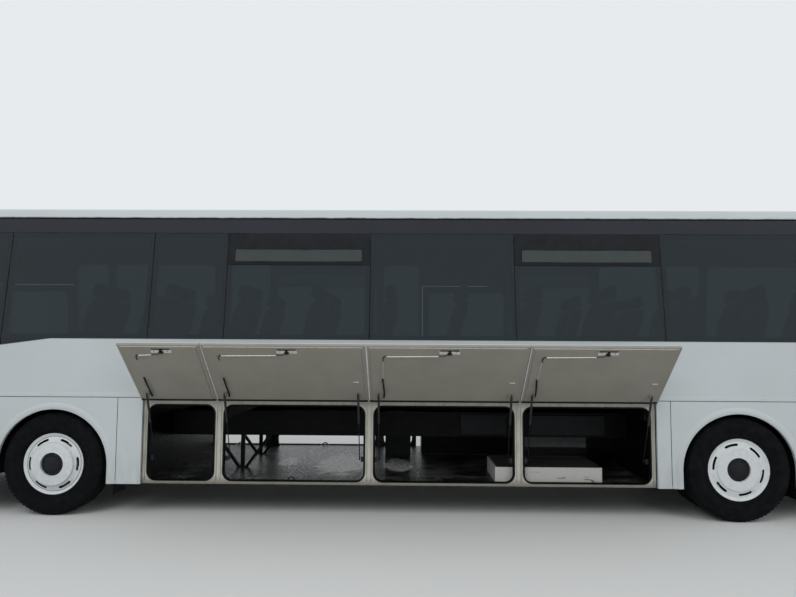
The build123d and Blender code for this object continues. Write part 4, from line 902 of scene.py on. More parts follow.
def closed_curve(points, count):
    """Points at even steps along a smooth closed curve through the given ones."""
    size = len(points)
    dense = []
    for i in range(size):
        near = [Vector(points[(i + k) % size]) for k in (-1, 0, 1, 2)]
        dense += [between_points(*near, k / 12) for k in range(12)]
    steps = [(dense[(i + 1) % len(dense)] - dense[i]).length for i in range(len(dense))]
    total = sum(steps)
    result = []
    walked = 0.0
    for start, step in zip(dense, steps):
        if walked >= total * len(result) / count - 1e-9 and len(result) < count:
            result.append((start.x, start.y))
        walked += step
    return result


def wall_y(z):
    """Half the coach's width at a height: the wall leans in over the belt."""
    return HALF_WIDTH - max(0.0, z - BELT_Z) * LEAN


def belt_z(x):
    """The height of the belt line, which falls towards the front."""
    return BELT_Z - max(0.0, BELT_KNEE_X - x) * BELT_FALL


def bay_edges(bays):
    """Where each bay of the hold starts and stops."""
    edges = [HOLD_X0]
    for width in bays:
        edges.append(edges[-1] + width)
    return list(zip(edges, edges[1:]))


def on_flap(side, x, s, t):
    """A place on an open flap: s down its face from the hinge, t inward."""
    out = HINGE_Y + s * math.sin(FLAP_ANGLE) - t * math.cos(FLAP_ANGLE)
    up = HINGE_Z - s * math.cos(FLAP_ANGLE) - t * math.sin(FLAP_ANGLE)
    return Vector((x, side * out, up))


def flap_plate(shape, side, outline, t, thickness):
    """A flat plate on an open flap, from depth t inwards; its outline is (x, s) pairs."""
    deep = on_flap(side, 0, 0, 1) - on_flap(side, 0, 0, 0)
    prism(shape, [on_flap(side, x, s, t) for x, s in outline], deep * thickness)


def flap_tube(shape, side, points, t, radius, sides=10):
    """A round bar on an open flap through (x, s) pairs at depth t."""
    tube(shape, [on_flap(side, x, s, t) for x, s in points], radius, sides)


def face_x(end, y, z, proud=0.0):
    """Where an end's outer face stands at y and z, moved outwards by proud."""
    nose, way, bow, corner, rake = ENDS[end]
    flat = HALF_WIDTH + 0.020 - corner
    off = abs(y)
    radius = (flat * flat + bow * bow) / (2 * bow)
    depth = radius - math.sqrt(radius * radius - min(off, flat) ** 2)
    if off > flat:
        depth = bow + corner - math.sqrt(corner * corner - (off - flat) ** 2)
    lean = max(0.0, z - 1.25) * rake / 2.0
    return nose + way * (depth + lean - proud)


def face_patch(shape, end, y0, y1, z0, z1, proud, sunk=0.003, steps=14):
    """A thin panel that follows an end's face between two sides and two heights."""
    y0, y1 = sorted((y0, y1))
    rows = []
    for k in range(steps + 1):
        y = y0 + (y1 - y0) * k / steps
        corners = ((z0, -sunk), (z0, proud), (z1, proud), (z1, -sunk))
        rows.append([shape.verts.new((face_x(end, y, z, d), y, z)) for z, d in corners])
    skin(shape, rows, ends=True)


def face_border(shape, end, half, low, high, sill, head, post, steps):
    """Four flush panels round a window on an end's face."""
    low_in, high_in = low + sill, high - head
    for y0, y1, z0, z1 in (
        (-half, half, low, low_in), (-half, half, high_in, high),
        (-half, post - half, low_in, high_in), (half - post, half, low_in, high_in),
    ):
        face_patch(shape, end, y0, y1, z0, z1, 0.0006, 0.0005, steps)


def face_disc(shape, end, y, z, profile, segments=32, size=1.0):
    """A round fitting seated square on an end's face; profile holds (radius, outwards) pairs."""
    made = bmesh.new()
    lathe(made, [(radius * size, out) for radius, out in profile], (0, 0, 0), "X", segments)
    way = ENDS[end][1]
    slope = (face_x(end, y + 0.002, z) - face_x(end, y - 0.002, z)) / 0.004
    outward = Vector((-way, slope * way, 0)).normalized()
    turn = outward.to_track_quat("X", "Z").to_matrix().to_4x4()
    place = Matrix.Translation((face_x(end, y, z), y, z)) @ turn
    bmesh.ops.transform(made, matrix=place, verts=made.verts)
    mesh = mesh_of(made, "disc")
    shape.from_mesh(mesh)
    bpy.data.meshes.remove(mesh)


# Operators, one for each piece or group of like pieces


class COACH_OT_panels(bpy.types.Operator):
    """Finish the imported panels, glass, hold, chassis and fittings"""

    bl_idname = "coach.panels"
    bl_label = "Finish the packed pieces"

    NAMED = {
        two_tone_enamel: "side_wall_left side_wall_right front_mask rear_cap",
        body_enamel: "roof skirts_left skirts_right bumpers engine_lid",
        toned_glass: "glazing",
        clear_glass: "windscreen",
        cream_enamel: "hold_frame_left hold_frame_right",
        hold_paint: "hold_tub",
        galvanised_sheet: "hold_equipment",
        floor_covering: "passenger_floor stairwells",
        chassis_paint: "chassis_frame tanks",
        cast_iron: "front_axle rear_axle knuckle_left knuckle_right engine",
        moulded_black: "plug_doors dashboard mirrors_and_wipers roof_hatch_front roof_hatch_rear",
        lamp_lens: "lamps",
        extruded_rubber: "mud_flaps",
        trim_enamel: "front_wheel_left front_wheel_right rear_wheels_left rear_wheels_right",
    }
    FAMILIES = {"flap_": flap_finish, "strut_tubes": black_powder_coat, "strut_rods": nitrided_steel}

    def execute(self, context):
        for maker, names in self.NAMED.items():
            for name in names.split():
                dress(name, maker)
        for start, maker in self.FAMILIES.items():
            for name in frame["nodes"]:
                if name.startswith(start):
                    dress(name, maker)
        return {"FINISHED"}


class COACH_OT_gaskets(bpy.types.Operator):
    """Rubber joints between the window panes on both sides"""

    bl_idname = "coach.gaskets"
    bl_label = "Window gaskets"

    def execute(self, context):
        shape = bmesh.new()
        half = sizes().gasket / 2
        for side in (-1, 1):
            for x in WINDOW_SEAMS:
                if side > 0 and any(a - 0.02 < x < b + 0.02 for a, b in (FRONT_DOOR, MIDDLE_DOOR)):
                    continue
                section = oblong(belt_z(x), GLASS_TOP_Z, -0.0015, 0.0055)
                outline = [(x - half, side * (wall_y(z) - depth), z) for z, depth in section]
                prism(shape, outline, (2 * half, 0, 0))
        fit(shape, "window_gaskets", extruded_rubber)
        return {"FINISHED"}


class COACH_OT_hoppers(bpy.types.Operator):
    """Opening vents at the top of the third and fifth windows"""

    bl_idname = "coach.hoppers"
    bl_label = "Hopper vents"

    def execute(self, context):
        shape, glass = bmesh.new(), bmesh.new()
        for side in (-1, 1):
            for k in (2, 4):
                x0, x1 = WINDOW_SEAMS[k] + 0.006, WINDOW_SEAMS[k + 1] - 0.006
                if side > 0 and MIDDLE_DOOR[0] - 0.02 < (x0 + x1) / 2 < MIDDLE_DOOR[1] + 0.3:
                    continue
                self.vent(shape, glass, side, x0, x1)
        fit(shape, "hopper_frames", moulded_black)
        fit(glass, "hopper_glass", clear_glass)
        return {"FINISHED"}

    def vent(self, shape, glass, side, x0, x1):
        low, sill, head, top = 2.496, 2.526, 2.663, GLASS_TOP_Z - 0.004

        def place(proud):
            return lambda a, b, d: Vector((a, side * (wall_y(b) + proud - d), b))

        outer = rounded_loop(x0, x1, low, top, 0.012)
        inner = rounded_loop(x0 + 0.065, x1 - 0.075, sill, head, 0.014)
        loop_band(shape, outer, inner, place(0.003), 0.003)
        rim = rounded_loop(x0 + 0.072, x1 - 0.082, sill + 0.007, head - 0.007, 0.010)
        loop_band(shape, inner, rim, place(0.006), 0.006)
        pane = rounded_loop(x0 + 0.071, x1 - 0.081, sill + 0.006, head - 0.006, 0.010)
        prism(glass, [place(0.0005)(a, b, 0) for a, b in pane], (0, side * 0.003, 0))
        y = side * (wall_y(head) + 0.007)
        for x in ((x0 + x1) / 2 - 0.06, (x0 + x1) / 2 + 0.06):
            block(shape, (x - 0.012, y - 0.004, head - 0.014), (x + 0.012, y + 0.004, head + 0.004), 0.002)
        y = side * (wall_y(low) + 0.006)
        block(shape, (x0 + 0.01, y - 0.004, low), (x1 - 0.01, y + 0.004, low + 0.018), 0.003)


class COACH_OT_cove(bpy.types.Operator):
    """Hand-run sealant and the drip moulding where the roof's cove meets the wall"""

    bl_idname = "coach.cove"
    bl_label = "Cove sealant"

    def execute(self, context):
        count = 480
        span = WALL_REAR_X - WALL_FRONT_X
        shape = bmesh.new()
        for name, side, _ in SIDES:
            y = side * (wall_y(BAND_TOP_Z) + 0.001)
            points = [(WALL_FRONT_X + span * k / count, y, BAND_TOP_Z + 0.003) for k in range(count + 1)]
            mesh = bpy.data.meshes.new("path")
            mesh.from_pydata(points, [(k, k + 1) for k in range(count)], [])
            values = {"Radius": sizes().bead, "Sides": 8, "Waviness": 0.009, "Seed": 3.0 + side}
            item = grown(f"cove_sealant_{name}", mesh, run_tree(), sealant, values)
            soften(item.data, 60)
            give(item, "coach")
            y = side * wall_y(BAND_TOP_Z - 0.012)
            section = ((0, 0.014), (0.006, 0.012), (0.007, 0.005), (-0.002, 0.003))
            outline = [(WALL_FRONT_X, y + side * out, BAND_TOP_Z - down) for out, down in section]
            prism(shape, outline, (span, 0, 0))
        fit(shape, "drip_mouldings", extruded_rubber)
        return {"FINISHED"}


class COACH_OT_hinge_screws(bpy.types.Operator):
    """Countersunk screws along the strips over the flaps' hinges"""

    bl_idname = "coach.hinge_screws"
    bl_label = "Hinge screws"

    def execute(self, context):
        pitch = sizes().screw_pitch
        made = []
        for _, side, bays in SIDES:
            for a, b in bay_edges(bays):
                count = int((b - a - 0.08) / pitch)
                start = (a + b - (count - 1) * pitch) / 2
                head = bmesh.new()
                rounded_disc(head, (0, 0, 0), "Y", sizes().screw, 0.0022, 0.001, 12, side)
                place = (start, side * (HALF_WIDTH + 0.0018), 1.183)
                made.append(row(head, zinc_steel, count, place, (pitch, 0, 0)))
        give(joined(made, "hinge_screws"), "coach")
        return {"FINISHED"}


class COACH_OT_opening_seals(bpy.types.Operator):
    """Rubber edging pushed on round each opening of the hold's frame"""

    bl_idname = "coach.opening_seals"
    bl_label = "Opening seals"

    def execute(self, context):
        wide = sizes().seal
        low, top, corner, lip = SILL_Z, HOLE_TOP_Z, HOLE_CORNER, 0.005
        shape = bmesh.new()
        for _, side, bays in SIDES:

            def place(x, z, d, side=side):
                return Vector((x, side * (FRAME_Y + 0.004 - d), z))

            for a, b in bay_edges(bays):
                x0, x1 = a + POST, b - POST
                outer = rounded_loop(x0 - wide, x1 + wide, low - wide * 0.6, top + wide, corner + wide)
                inner = rounded_loop(x0 + lip, x1 - lip, low + lip, top - lip, corner - lip)
                loop_band(shape, outer, inner, place, 0.006)
                loop_band(shape, rounded_loop(x0, x1, low, top, corner), inner, place, 0.046)
        fit(shape, "opening_seals", extruded_rubber)
        return {"FINISHED"}


class COACH_OT_flap_fittings(bpy.types.Operator):
    """Lock plates, conduits, elbows and cable runs inside each flap"""

    bl_idname = "coach.flap_fittings"
    bl_label = "Flap fittings"

    # Stations of each flap's lock and of the bend in its conduit, and whether a hose runs on from there
    PLACES = {
        "left": ((-2.313, -2.560, True), (-1.178, -1.808, True), (0.286, -0.313, True), (1.698, 1.126, True)),
        "right": ((-2.313, -2.560, True), (-1.178, -1.808, True), (-0.220, -0.380, False)),
    }

    def execute(self, context):
        for name, side, bays in SIDES:
            for number, (a, b) in enumerate(bay_edges(bays), 1):
                lock_x, bend_x, hosed = self.PLACES[name][number - 1]
                body, own = f"flap_{name}_{number}", f"{name}_{number}"
                plates, dark, edges = bmesh.new(), bmesh.new(), bmesh.new()
                half = min(0.092, (b - a) / 4)
                plate = oblong(lock_x - half, lock_x + half, 0.736, 0.778)
                flap_plate(plates, side, plate, PAN_DEPTH, 0.0025)
                self.lock(dark, side, lock_x)
                self.conduit(plates, dark, side, lock_x, bend_x)
                if hosed:
                    self.hose(plates, dark, side, bend_x, number > 2 or side > 0)
                # Edging along the foot; rubber along the hinge, which also stands for the shadow gap between
                # the flap's root and the frame's header, so partly painted shadow; and the skin's edge folded
                # round in front
                flap_plate(plates, side, oblong(a + 0.03, b - 0.03, 0.806, 0.818), SKIN_T - 0.0001, 0.0011)
                flap_plate(dark, side, oblong(a + 0.012, b - 0.012, 0.008, 0.038), SKIN_T, 0.0030)
                flap_plate(edges, side, oblong(a + 0.0043, a + 0.0120, 0.040, 0.822), SKIN_T, 0.0010)
                if b - a > 0.6 and number > 1:
                    self.stop(plates, side, b - STRUT_INSET - 0.012)
                fit(plates, f"lock_plates_{own}", white_plate, body)
                fit(dark, f"lock_gear_and_shadow_strips_{own}", moulded_black, body)
                fit(edges, f"flap_edges_{own}", white_plate, body)
        return {"FINISHED"}

    def lock(self, shape, side, x):
        # A black strip above the lock plate stands for the shadow line over it: painted shadow.
        shadow_strip = [(x - 0.088, 0.779), (x + 0.088, 0.779), (x + 0.080, 0.789), (x - 0.080, 0.789)]
        flap_plate(shape, side, shadow_strip, PAN_DEPTH, 0.006)
        outline = [(x - 0.026, 0.738), (x + 0.022, 0.742), (x + 0.006, 0.782), (x - 0.006, 0.784)]
        flap_plate(shape, side, outline, PAN_DEPTH + 0.0026, 0.014)
        handle = ((0.788, 0.055), (0.755, 0.066), (0.735, 0.062))
        tube(shape, [on_flap(side, x, s, t) for s, t in handle], 0.004)
        for dx in (-0.06, 0.06):
            ends = [on_flap(side, x + dx, 0.760, PAN_DEPTH + t) for t in (0.0025, 0.0055)]
            tube(shape, ends, 0.004, 12)

    def conduit(self, pale, dark, side, lock_x, x):
        t = PAN_DEPTH + 0.0062
        radius = sizes().conduit
        flap_tube(pale, side, [(lock_x - 0.10, 0.712), (x + 0.03, 0.704)], t, radius)
        bend = [(x + 0.034, 0.704), (x + 0.012, 0.702), (x + 0.003, 0.694), (x, 0.676), (x, 0.640)]
        flap_tube(dark, side, bend, t, radius * 0.72)
        tail = [(lock_x - 0.105, 0.712), (lock_x - 0.045, 0.713), (lock_x - 0.012, 0.742)]
        flap_tube(dark, side, tail, t, 0.0025)

    def hose(self, pale, dark, side, x, shown):
        """The cable up the pan, where it shows, and the hose that bows out of it."""
        if shown:
            cable = [(x, 0.645), (x - 0.004, 0.52), (x - 0.008, 0.36)]
            flap_tube(pale, side, cable, PAN_DEPTH + 0.003, 0.0022, 8)
        bow = (
            (-0.012, 0.380, 0.052), (-0.010, 0.34, 0.056), (-0.002, 0.25, 0.068),
            (0.001, 0.17, 0.070), (-0.004, 0.116, 0.062), (-0.008, 0.100, 0.052),
        )
        tube(dark, open_curve([on_flap(side, x + dx, s, t) for dx, s, t in bow], 8), 0.0080, 10)

    def stop(self, shape, side, x):
        """A bright folded clip on the pan above the aft strut."""
        outline = [(x - 0.026, 0.322), (x + 0.026, 0.322), (x + 0.022, 0.331), (x - 0.022, 0.331)]
        flap_plate(shape, side, outline, PAN_DEPTH, 0.006)


class COACH_OT_hold_fittings(bpy.types.Operator):
    """Bolted plates under the striker rings, the far column and the wheels' splash sheets"""

    bl_idname = "coach.hold_fittings"
    bl_label = "Hold fittings"

    STATIONS = ((-1, (-2.339, -1.240, 0.215)), (1, (-2.339, -1.200)))

    def execute(self, context):
        shape, dark = bmesh.new(), bmesh.new()
        for side, stations in self.STATIONS:
            y = side * STRIKER_Y
            for x in stations:
                block(shape, (x - 0.062, y - 0.022, 0.3425), (x + 0.062, y + 0.022, 0.3475), 0.002)
                for dx in (-0.052, 0.052):
                    rounded_disc(shape, (x + dx, y, 0.3473), "Z", 0.006, 0.003, 0.001, 12)
        fit(shape, "striker_plates", zinc_steel)
        near = [(-1.925, HOLD_FLOOR_Z), (-1.910, 0.385), (-1.905, 0.42), (-1.905, 0.72)]
        far = [(-3.720 - x, z) for x, z in reversed(near)]
        prism(dark, [(x, 1.060, z) for x, z in near + far], (0, 0.045, 0))
        for side in (-1, 1):
            for x, low, high in ((REAR_AXLE_X + 0.602, 0.60, 1.0895), (FRONT_AXLE_X - 0.666, 0.36, 0.8495)):
                block(dark, (x, side * 0.640, low), (x + 0.006, side * 1.238, high), 0.001)
        fit(dark, "hold_column_and_splash_sheets", chassis_paint)
        return {"FINISHED"}


class COACH_OT_panel_strips(bpy.types.Operator):
    """Screwed strips and sealed joints between the wall and the skirts, before and behind the hold"""

    bl_idname = "coach.panel_strips"
    bl_label = "Panel strips"

    def execute(self, context):
        strips, joints, made = bmesh.new(), bmesh.new(), []
        pitch = sizes().strip_pitch
        foot, joint_top, screw_z = 1.156, 1.1625, 1.184
        for _, side, bays in SIDES:
            y = side * HALF_WIDTH
            deep, flush = y - side * 0.002, y + side * 0.0004
            spans = [(WALL_FRONT_X, HOLD_X0), (HOLD_X0 + sum(bays), WALL_REAR_X)]
            if side > 0:
                spans = [(FRONT_DOOR[1] + 0.1, HOLD_X0), (MIDDLE_DOOR[1] + 0.1, WALL_REAR_X)]
            for x0, x1 in spans:
                x0, x1 = x0 + 0.006, x1 - 0.006
                block(strips, (x0, y - side * 0.001, joint_top), (x1, y + side * 0.0016, 1.205), 0.0006)
                block(joints, (x0, deep, foot), (x1, flush, joint_top), 0)
                count = int((x1 - x0 - 0.12) / pitch) + 1
                head = bmesh.new()
                rounded_disc(head, (0, 0, 0), "Y", 0.0045, 0.0016, 0.0006, 12, side)
                start = (x0 + x1 - (count - 1) * pitch) / 2
                made.append(row(head, zinc_steel, count, (start, y + side * 0.0012, screw_z), (pitch, 0, 0)))
            for x in PANEL_JOINTS:
                block(joints, (x - 0.0035, deep, SILL_Z), (x + 0.0025, flush, foot), 0)
        fit(joints, "panel_joints", sealed_joint)
        fit(strips, "panel_strips", body_enamel)
        give(joined(made, "panel_strip_screws"), "coach")
        return {"FINISHED"}


class COACH_OT_front_fittings(bpy.types.Operator):
    """Windscreen surround, grilles, lamp barrels, blank plate, wiper blades and mirror glass"""

    bl_idname = "coach.front_fittings"
    bl_label = "Front fittings"

    def execute(self, context):
        surround = bmesh.new()
        face_border(surround, "front", 1.083, 1.293, 2.797, 0.085, 0.150, 0.062, 30)
        fit(surround, "windscreen_surround", fired_enamel)
        self.grilles()
        self.lamps()
        edge, face = bmesh.new(), bmesh.new()
        face_patch(edge, "front", *PLATE_HOLDER, 0.004)
        face_patch(face, "front", *PLATE_BLANK, 0.0055)
        fit(edge, "front_plate_holder", moulded_black)
        fit(face, "front_plate_blank", white_plate)
        self.blades()
        glasses = bmesh.new()
        for side in (-1, 1):
            for low, high in ((2.392, 2.650), (2.232, 2.372)):
                corners = ((MIRROR_X - 0.0015, side * 1.182, low), (MIRROR_X + 0.0015, side * 1.368, high))
                block(glasses, *corners, 0.001)
        fit(glasses, "mirror_glasses", mirror_glass)
        return {"FINISHED"}

    def grilles(self):
        shape = bmesh.new()
        face_patch(shape, "front", -0.700, 0.700, 0.745, 0.888, 0.0015)
        for side in (-1, 1):
            face_patch(shape, "front", side * 0.130, side * 0.640, 0.385, 0.510, 0.0015)
        face_patch(shape, "front", -1.090, 1.090, 0.280, 0.318, 0.0040)
        fit(shape, "grille_backing", fired_enamel)
        made = []
        openings = ((-0.694, 0.694, 0.757, 5), (-0.632, -0.138, 0.397, 4), (0.138, 0.632, 0.397, 4))
        for y0, y1, z, count in openings:
            slat = bmesh.new()
            face_patch(slat, "front", y0, y1, z, z + 0.010, 0.009, 0.0, 18)
            made.append(row(slat, moulded_black, count, (0, 0, 0), (0, 0, sizes().slat_pitch)))
        give(joined(made, "grille_slats"), "coach")

    def lamps(self):
        bright, clear = bmesh.new(), bmesh.new()
        rim = [(0.050, 0.002), (0.062, 0.002), (0.062, 0.009), (0.057, 0.011), (0.050, 0.008)]
        dome = [(0.0005, -0.004), (0.049, -0.004), (0.049, 0.005), (0.034, 0.010), (0.0005, 0.0125)]
        places = ((0.830, 0.815, 40, 1.0), (0.985, 0.815, 40, 1.0), (0.800, 0.445, 32, 0.82))
        for side in (-1, 1):
            for y, z, segments, size in places:
                face_disc(bright, "front", side * y, z, rim, segments, size)
                face_disc(clear, "front", side * y, z, dome, segments, size)
            face_disc(clear, "front", side * 0.930, 2.935, dome, size=0.5)
        fit(bright, "front_lamp_rings", lamp_chrome)
        fit(clear, "front_lamp_domes", clear_glass)

    def blades(self):
        shape = bmesh.new()
        for y in (-0.800, 0.200):
            run = []
            for k in range(9):
                across = y - 0.26 + 0.60 * k / 8
                z = 1.372 + 0.035 * k / 8
                run.append((face_x("front", across, z, 0.010), across, z))
            tube(shape, run, 0.006, 8)
            tube(shape, [(x + 0.004, across, z - 0.010) for x, across, z in run], 0.0035, 6)
        fit(shape, "wiper_blades", extruded_rubber)


class COACH_OT_rear_fittings(bpy.types.Operator):
    """Rear window surround, lamp chambers, blank plate, reflectors and the lid's handles"""

    bl_idname = "coach.rear_fittings"
    bl_label = "Rear fittings"

    def execute(self, context):
        dark, trim, red, pale, grips = (bmesh.new() for _ in range(5))
        face_border(dark, "rear", 0.898, 1.803, 2.697, 0.07, 0.09, 0.06, 20)
        rim = [(0.036, 0.001), (0.045, 0.001), (0.045, 0.006), (0.040, 0.008), (0.036, 0.006)]
        dome = [(0.0005, -0.003), (0.0355, -0.003), (0.0355, 0.003), (0.024, 0.007), (0.0005, 0.009)]
        for side in (-1, 1):
            for z in (0.877, 0.975, 1.062, 1.168):
                face_disc(trim, "rear", side * 1.060, z, rim)
                face_disc(red, "rear", side * 1.060, z, dome)
            for z in (0.928, 1.108):
                face_patch(trim, "rear", side * 0.955, side * 1.170, z, z + 0.005, 0.0015)
            face_patch(red, "rear_bumper", side * 0.950, side * 1.060, 0.415, 0.450, 0.0020)
        face_patch(red, "rear", -0.160, 0.160, 2.748, 2.775, 0.010)
        face_patch(trim, "rear_bumper", *PLATE_HOLDER, 0.0010)
        face_patch(trim, "rear_bumper", -0.090, 0.090, 0.674, 0.692, 0.0030)
        face_patch(pale, "rear_bumper", *PLATE_BLANK, 0.0020)
        for y in (-0.55, 0.55):
            block(grips, (6.4295, y - 0.065, 0.783), (6.4330, y + 0.065, 0.823), 0.0012)
            block(grips, (6.4320, y - 0.050, 0.792), (6.4440, y + 0.050, 0.808), 0.004)
        fit(dark, "rear_window_surround", fired_enamel)
        fit(trim, "rear_lamp_rings", moulded_black)
        fit(red, "rear_lamp_domes", lamp_lens)
        fit(pale, "rear_plate_blank", white_plate)
        fit(grips, "engine_lid_grips", moulded_black, "engine_lid")
        return {"FINISHED"}


class COACH_OT_tyres(bpy.types.Operator):
    """Tyres with grooved treads, shoulder lugs and ribbed walls"""

    bl_idname = "coach.tyres"
    bl_label = "Tyres"

    # Half a section from the bead to the shoulder: radius, and how far out from the middle plane
    WALL = (
        (0.2897, 0.100), (0.300, 0.112), (0.318, 0.121), (0.322, 0.1255), (0.326, 0.121), (0.350, 0.132),
        (0.375, 0.1375), (0.379, 0.1405), (0.383, 0.138), (0.410, 0.1425), (0.436, 0.1405), (0.452, 0.136),
        (0.456, 0.1375), (0.460, 0.134), (0.470, 0.1300), (0.484, 0.1225), (0.4895, 0.112), (0.4900, 0.098),
    )
    SHOULDER = (0.4985, 0.096)

    def execute(self, context):
        for name, side, _ in SIDES:
            front, rear = side * WHEEL_Y["front"], side * WHEEL_Y["rear"]
            self.build(f"front_tyre_{name}", f"front_wheel_{name}", FRONT_AXLE_X, [front])
            twins = [rear, rear - side * TWIN_SPACING]
            self.build(f"rear_tyres_{name}", f"rear_wheels_{name}", REAR_AXLE_X, twins)
        return {"FINISHED"}

    def build(self, node, body, x, places):
        made = []
        for y in places:
            shape = bmesh.new()
            lathe(shape, self.outline(), (x, y, AXLE_Z), "Y", 120)
            made.append(put(shape, "carcass", tyre_rubber, 30))
            for edge in (-1, 1):
                lug = bmesh.new()
                block(lug, (-0.010, edge * 0.096, -0.009), (-0.0035, edge * 0.120, 0.009), 0.002)
                made.append(ring(lug, tyre_rubber, 72, 0.4965, (x, y, AXLE_Z)))
        item = joined(made, node + "_tread")
        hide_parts(node)
        give(item, body)

    def outline(self):
        depth, half = sizes().groove, 0.006
        tread = [self.SHOULDER]
        for groove, top in ((0.082, 0.499), (0.030, 0.4995), (-0.030, 0.4995), (-0.082, 0.499)):
            tread += [(top, groove + half), (top - depth, groove + half - 0.001)]
            tread += [(top - depth, groove - half + 0.001), (top, groove - half)]
        tread.append((self.SHOULDER[0], -self.SHOULDER[1]))
        return [*self.WALL, *tread, *((r, -out) for r, out in reversed(self.WALL))]


class COACH_OT_hubs(bpy.types.Operator):
    """Hub caps and the ring of bolts on each"""

    bl_idname = "coach.hubs"
    bl_label = "Hubs"

    # The cap's section: radius, and how far it stands out
    CAP = (
        (0.0005, 0.0), (0.1125, 0.0), (0.1125, 0.010), (0.106, 0.014),
        (0.080, 0.016), (0.074, 0.024), (0.066, 0.028), (0.0005, 0.030),
    )

    def execute(self, context):
        front, rear = WHEEL_Y["front"] + DISC_OUT + 0.006, WHEEL_Y["rear"] + DISC_OUT - 0.030
        for kind, x, face in (("front_wheel", FRONT_AXLE_X, front), ("rear_wheels", REAR_AXLE_X, rear)):
            for name, side, _ in SIDES:
                cap, bolt = bmesh.new(), bmesh.new()
                lathe(cap, [(radius, side * out) for radius, out in self.CAP], (x, side * face, AXLE_Z))
                rounded_disc(bolt, (0, 0, 0), "Y", 0.0065, 0.007, 0.002, 8, side)
                centre = (x, side * (face + 0.012), AXLE_Z)
                made = [put(cap, "cap", moulded_black), ring(bolt, black_powder_coat, 10, 0.094, centre)]
                give(joined(made, f"{kind}_hub_{name}"), f"{kind}_{name}")
        return {"FINISHED"}


class COACH_OT_seats(bpy.types.Operator):
    """Passenger and driver's seats in moquette with head restraints"""

    bl_idname = "coach.seats"
    bl_label = "Seats"

    # Side outlines as (x, z) pairs, inset from the seat's sides, and the points that channels run across from
    PADS = (
        (
            (
                (-0.010, 0.350), (0.20, 0.342), (0.42, 0.350), (0.425, 0.435),
                (0.25, 0.440), (0.06, 0.452), (-0.012, 0.430),
            ), 0.014, (9, 11),
        ),
        (
            (
                (0.430, 0.420), (0.488, 0.410), (0.560, 0.700), (0.645, 1.010),
                (0.598, 1.022), (0.548, 0.990), (0.490, 0.800), (0.450, 0.600),
            ), 0.014, (10, 12),
        ),
        (
            (
                (0.535, 1.040), (0.636, 1.040), (0.642, 1.100), (0.640, 1.160),
                (0.600, 1.175), (0.562, 1.165), (0.540, 1.100),
            ), 0.075, (),
        ),
    )

    def execute(self, context):
        width, depth, pitch, rows = 0.430, 0.7, 0.760, 12
        driver_z, deck_z = 0.900, 1.140
        outside = wall_y(2.330) - 0.080
        first = FRONT_AXLE_X - 0.320
        places = [(WALL_FRONT_X + 0.640, width / 2 - outside, driver_z)]
        for number in range(rows):
            x = first + number * pitch
            for side in (-1, 1):
                if side > 0 and x + depth > MIDDLE_DOOR[0] - 0.04 and x < MIDDLE_DOOR[1] + 0.04:
                    continue
                for place in (0, 1):
                    y = outside - width - place * (width + 0.010)
                    places.append((x, y if side > 0 else -y - width, deck_z))
        template = self.seat(width)
        made = []
        for place in places:
            copy = bpy.data.objects.new("seat", template.copy())
            copy.data.transform(Matrix.Translation(place))
            made.append(copy)
        item = joined(made, "seats_moquette")
        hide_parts("seats")
        give(item, "coach")
        return {"FINISHED"}

    def seat(self, width):
        """One seat: cushion, back and restraint sewn to shape, filled, and set on its legs."""
        parts = [self.pad(outline, inset, width - inset, channels) for outline, inset, channels in self.PADS]
        hard = bmesh.new()
        for y in (0.10, width - 0.10):
            block(hard, (0.06, y - 0.02, 0.0), (0.12, y + 0.02, 0.345), 0.004)
            block(hard, (0.42, y - 0.02, 0.0), (0.48, y + 0.02, 0.40), 0.004)
            block(hard, (0.585, y - 0.006, 0.98), (0.597, y + 0.006, 1.06), 0.002)
        pattern = joined([*parts, put(hard, "legs", black_powder_coat)], "seat_pattern")
        mesh = pattern.data
        bpy.data.objects.remove(pattern)
        return mesh

    def pad(self, outline, y0, y1, channels):
        """A cover cut to the outline, sewn along both sides and across its channels, then filled."""
        count, edge = 16, 0.022
        loop = closed_curve(outline, count)
        middle = Vector((sum(p[0] for p in loop) / count, sum(p[1] for p in loop) / count))
        inner = y1 - y0 - 2 * edge
        rows = [(y0, 0.45), (y0, 0.86), (y0 + edge, 1.0)]
        rows += [(y0 + edge + inner * k / 4, 1.0) for k in (1, 2, 3)]
        rows += [(y1 - edge, 1.0), (y1, 0.86), (y1, 0.45)]
        shape = bmesh.new()
        rings = []
        for y, grow in rows:
            grid = [(middle.x + (a - middle.x) * grow, y, middle.y + (b - middle.y) * grow) for a, b in loop]
            rings.append([shape.verts.new(place) for place in grid])
        skin(shape, rings)
        for outer, y in ((rings[0], y0), (rings[-1], y1)):
            hub = shape.verts.new((middle.x, y, middle.y))
            for i in range(count):
                shape.faces.new((outer[i], outer[(i + 1) % count], hub))
        item = put(shape, "pad", seat_moquette, 80.0)
        sewn = item.vertex_groups.new(name="sewn")
        seams = [line * count + i for line in (2, 6) for i in range(count)]
        seams += [line * count + i for line in range(2, 7) for i in channels]
        sewn.add(seams, 1.0, "REPLACE")
        fill(item, 0.014)
        level = item.modifiers.new("round", "SUBSURF")
        level.levels = 1
        level.render_levels = 1
        rounded = evaluated(item)
        bpy.data.objects.remove(item)
        soften(rounded, 80.0)
        return bpy.data.objects.new("pad", rounded)


